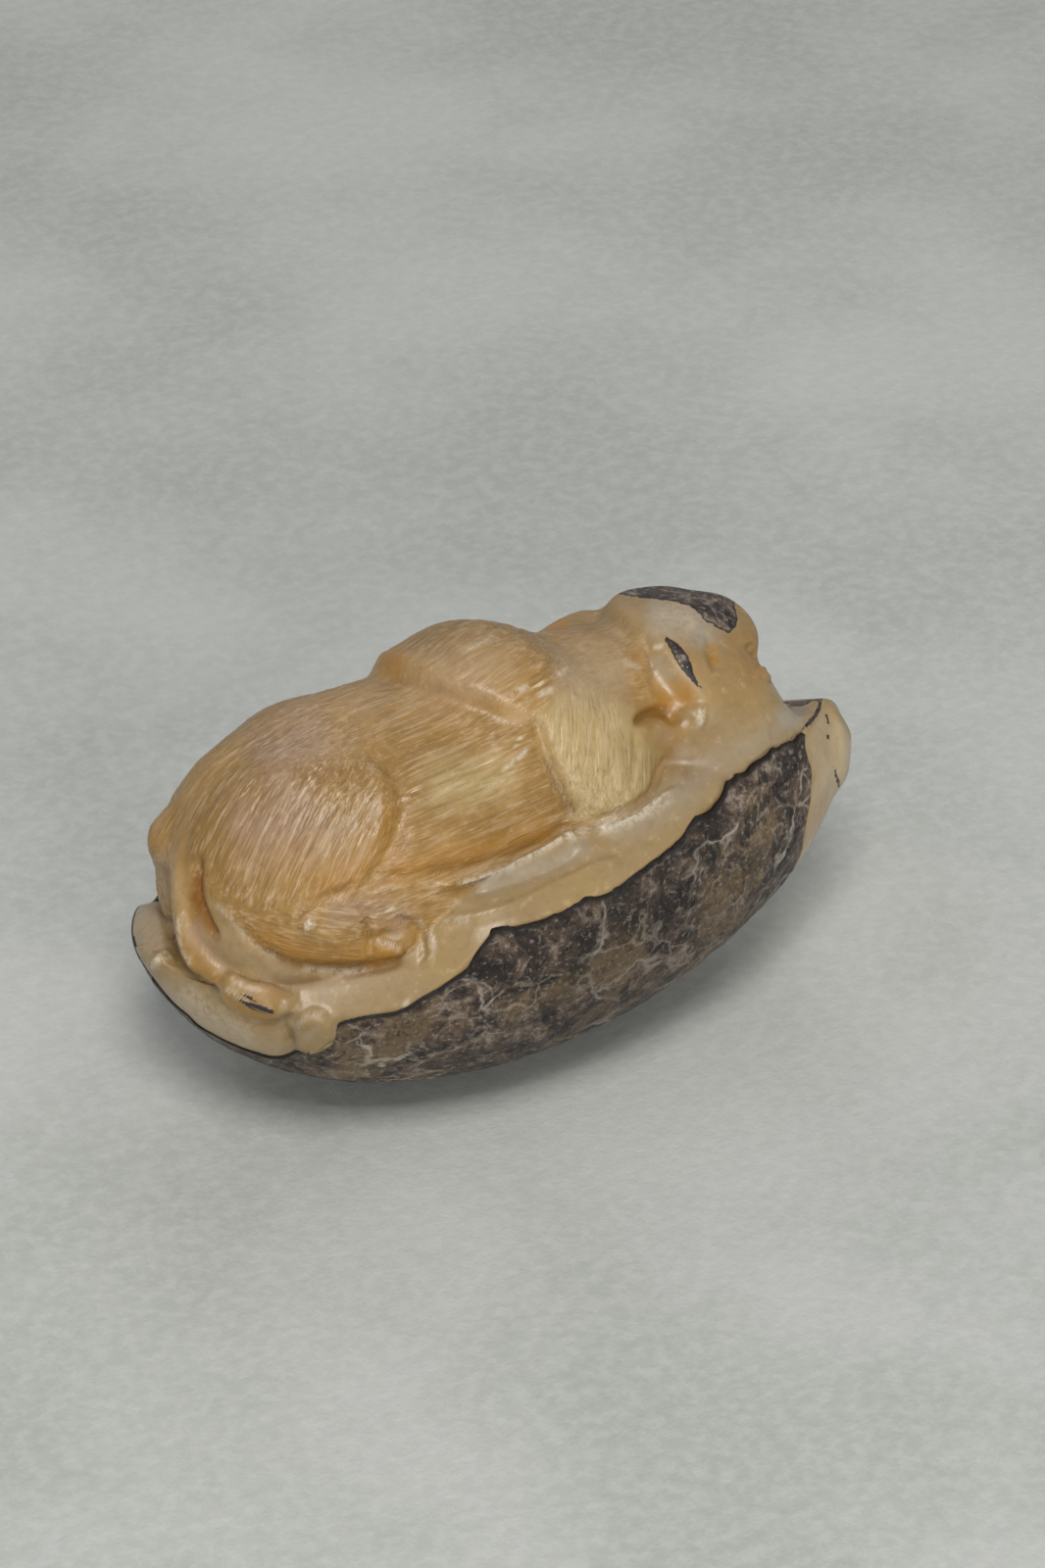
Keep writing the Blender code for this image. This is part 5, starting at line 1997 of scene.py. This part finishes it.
@dataclass
class ShellSkin:
    """The dark shell that wraps the lower half, as a thin closed skin."""

    nut: Nut = field(default_factory=Nut)
    edge: ShellEdge = field(default_factory=ShellEdge)
    finish: ShellFinish = field(default_factory=ShellFinish)
    rows: int = 330
    columns: int = 150
    inner_depth: float = 0.5
    left: float = -24.46
    right: float = 18.0
    edge_rise: float = 0.22
    # Height, cell and seed of each part of the rough outside, and how deep it may go
    roughness: tuple[tuple[float, float, int], ...] = ((0.07, 1.3, 31), (0.05, 0.5, 32), (0.03, 0.25, 33))
    mean_depth: float = 0.10
    most_depth: float = 0.22
    # Height, cell and seed of the chips along the near edge
    chipping: tuple[tuple[float, float, int], ...] = ((0.16, 0.45, 21), (0.10, 1.7, 22))

    def places(self) -> tuple[Array, Array, Array]:
        """Place along the nut, angle and share across for each point of the outer skin.

        The share along the nut is half of s and half of 1 - cos(s * pi / 2). The place along the nut and the
        angle depend on each other, so they are worked out in turn.

        Returns:
            Three tables, rows by columns.
        """
        rows = np.linspace(0.0, 1.0, int(self.rows * detail()))
        columns = np.linspace(-1.0, 1.0, int(self.columns * detail()))
        along, across = np.meshgrid(rows, columns, indexing="ij")
        along = 0.5 * along + 0.5 * (1.0 - np.cos(0.5 * math.pi * along))
        x, angle = self.left + (self.right - self.left) * along, np.zeros_like(along)
        for _ in range(5):
            radius = np.maximum(self.nut.radius(x), 1.0)
            near = np.arccos(np.clip(-(self.edge.near.at(x) - self.chips(x)) / radius, -1.0, 1.0))
            far = -np.arccos(np.clip(-self.edge.far.at(x) / radius, -1.0, 1.0))
            angle = 0.5 * (1.0 - across) * far + 0.5 * (1.0 + across) * near
            x = self.left + (self.edge.end.at(np.degrees(angle)) - self.left) * along
        return x, angle, across

    def chips(self, x: Array) -> Array:
        """How far small chips take the near edge down.

        Args:
            x: Places along the nut.

        Returns:
            One depth per place, in millimetres.
        """
        line = np.stack([x.ravel(), np.zeros(x.size), np.zeros(x.size)], axis=1)
        return sum(
            height * smooth_step(value_noise(line, cell, seed).reshape(x.shape), 1.0)
            for height, cell, seed in self.chipping
        )

    def skin(self, x: Array, angle: Array, depth: float) -> Array:
        """A skin at a depth: (x, -r sin(angle), -r cos(angle)), r = radius of the nut less the depth."""
        radius = self.nut.radius(x) - depth
        return np.stack([x, -radius * np.sin(angle), -radius * np.cos(angle)], axis=2)

    def roughened(self, places: Array, across: Array) -> Array:
        """The outer skin, drawn in by the sum of its noises, but not at its edges.

        Args:
            places: The smooth skin, rows by columns by 3, which is changed.
            across: Share across, rows by columns.

        Returns:
            The rough skin.
        """
        flat = places.reshape(-1, 3)
        relief = sum(height * value_noise(flat, cell, seed) for height, cell, seed in self.roughness)
        inward = (self.mean_depth - relief).reshape(across.shape).clip(0.0, self.most_depth)
        inward = inward * smooth_step((1.0 - np.abs(across)) * 10.0 - 0.5, 1.0)
        scale = 1.0 - inward / np.maximum(self.nut.radius(places[..., 0]), 2.0)
        places[..., 1:] *= scale[..., None]
        return places

    def build(self) -> bpy.types.Object:
        """Make the outer and inner skins and close the edges between them.

        Returns:
            The piece.
        """
        x, angle, across = self.places()
        outer, inner = self.roughened(self.skin(x, angle, 0.0), across), self.skin(x, angle, self.inner_depth)
        inner[..., 2] += self.edge_rise * bell((1.0 - across) * 8.0, 0.6)
        places = np.vstack([outer.reshape(-1, 3), inner.reshape(-1, 3)])
        rows, columns = x.shape
        count = rows * columns
        index = np.arange(count).reshape(rows, columns)
        cells = np.stack([index[:-1, :-1], index[:-1, 1:], index[1:, 1:], index[1:, :-1]], axis=2)
        cells = cells.reshape(-1, 4)
        border = np.concatenate([index[0, :], index[1:, -1], index[-1, -2::-1], index[-2:0:-1, 0]])
        after = np.roll(border, -1)
        closing = np.stack([after, border, border + count, after + count], axis=1)
        faces = np.vstack([cells, cells[:, ::-1] + count, closing])
        rim = 1.0 - smooth_step((1.0 - np.abs(across)) * np.abs(angle).max() * 12.0 - 0.25, 0.4)
        shade = bell(x - 1.0, 8.0).ravel()
        layers = {
            "rim": np.concatenate([rim.ravel(), np.ones(rim.size)]),
            "shade": np.concatenate([shade, shade]),
        }
        piece = new_mesh("nut_shell", places, faces.tolist(), layers)
        declare(piece, self.finish.material())
        return piece


# Studio
@dataclass
class Floor:
    """A plain pale floor that the nut lies on."""

    half: float = 2.0

    def build(self) -> bpy.types.Object:
        """Make the floor with its material.

        Returns:
            The floor.
        """
        mesh = bpy.data.meshes.new("floor")
        signs = ((-1.0, -1.0), (1.0, -1.0), (1.0, 1.0), (-1.0, 1.0))
        mesh.from_pydata([(self.half * x, self.half * y, 0.0) for x, y in signs], [], [(0, 1, 2, 3)])
        floor = bpy.data.objects.new("floor", mesh)
        bpy.context.scene.collection.objects.link(floor)
        mesh.materials.append(FloorFinish().material())
        return floor


class Lamp(Enum):
    """The studio's soft lights: place, size, power in watts and colour."""

    KEY = ((-0.10, -0.22, 0.41), 0.16, 1.05, (1.0, 0.985, 0.96))
    BACK = ((0.14, 0.40, 0.30), 0.26, 0.18, (0.97, 0.985, 1.0))
    FILL = ((-0.12, -0.46, 0.16), 0.30, 0.66, (1.0, 0.99, 0.97))
    GLINT = ((-0.20, -0.26, 0.42), 0.03, 0.16, (1.0, 1.0, 1.0))

    def light(self) -> bpy.types.Object:
        """Make the light, facing the nut.

        Returns:
            The light.
        """
        place, size, power, colour = self.value
        data = bpy.data.lights.new(self.name.lower(), "AREA")
        data.shape, data.size, data.energy, data.color = "DISK", size, power, colour
        lamp = bpy.data.objects.new(self.name.lower(), data)
        lamp.location = place
        lamp.rotation_mode = "QUATERNION"
        lamp.rotation_quaternion = (Vector(LIT_PLACE) - Vector(place)).to_track_quat("-Z", "Y")
        bpy.context.scene.collection.objects.link(lamp)
        return lamp


@dataclass
class Studio:
    """Camera at the photograph's angle, soft lights and an even sky."""

    lens: float = 122.4
    sky: float = 0.36
    sky_colour: tuple[float, float, float, float] = (0.94, 0.97, 1.0, 1.0)

    def camera(self) -> bpy.types.Object:
        """Place the camera where the eye of the sheet is: back along its axis from the nut's middle.

        Returns:
            The camera.
        """
        right, up, back = (Vector(axis) for axis in SHEET.axes())
        place = back * SHEET.distance - right * SHEET.shift[0] - up * SHEET.shift[1] + Vector(NUT_MIDDLE)
        data = bpy.data.cameras.new("camera")
        data.lens = self.lens
        data.clip_start, data.clip_end = 0.01, 10.0
        camera = bpy.data.objects.new("camera", data)
        turned = Matrix((right, up, back)).transposed().to_4x4()
        camera.matrix_world = Matrix.Translation(place * MILLIMETRE) @ turned
        bpy.context.scene.collection.objects.link(camera)
        bpy.context.scene.camera = camera
        return camera

    def build(self) -> None:
        """Set the camera, the lights and the sky."""
        self.camera()
        for lamp in Lamp:
            lamp.light()
        world = bpy.data.worlds.new("soft_sky")
        world.use_nodes = True
        background = world.node_tree.nodes["Background"]
        background.inputs["Color"].default_value = self.sky_colour
        background.inputs["Strength"].default_value = self.sky
        bpy.context.scene.world = world
        bpy.context.scene.view_settings.view_transform = "Standard"


def main() -> None:
    """Build the carving, the floor and the studio."""
    logging.basicConfig(level=logging.INFO, format="%(message)s")
    CarvedIvory().build()
    ShellSkin().build()
    Floor().build()
    Studio().build()


if __name__ == "__main__":
    main()
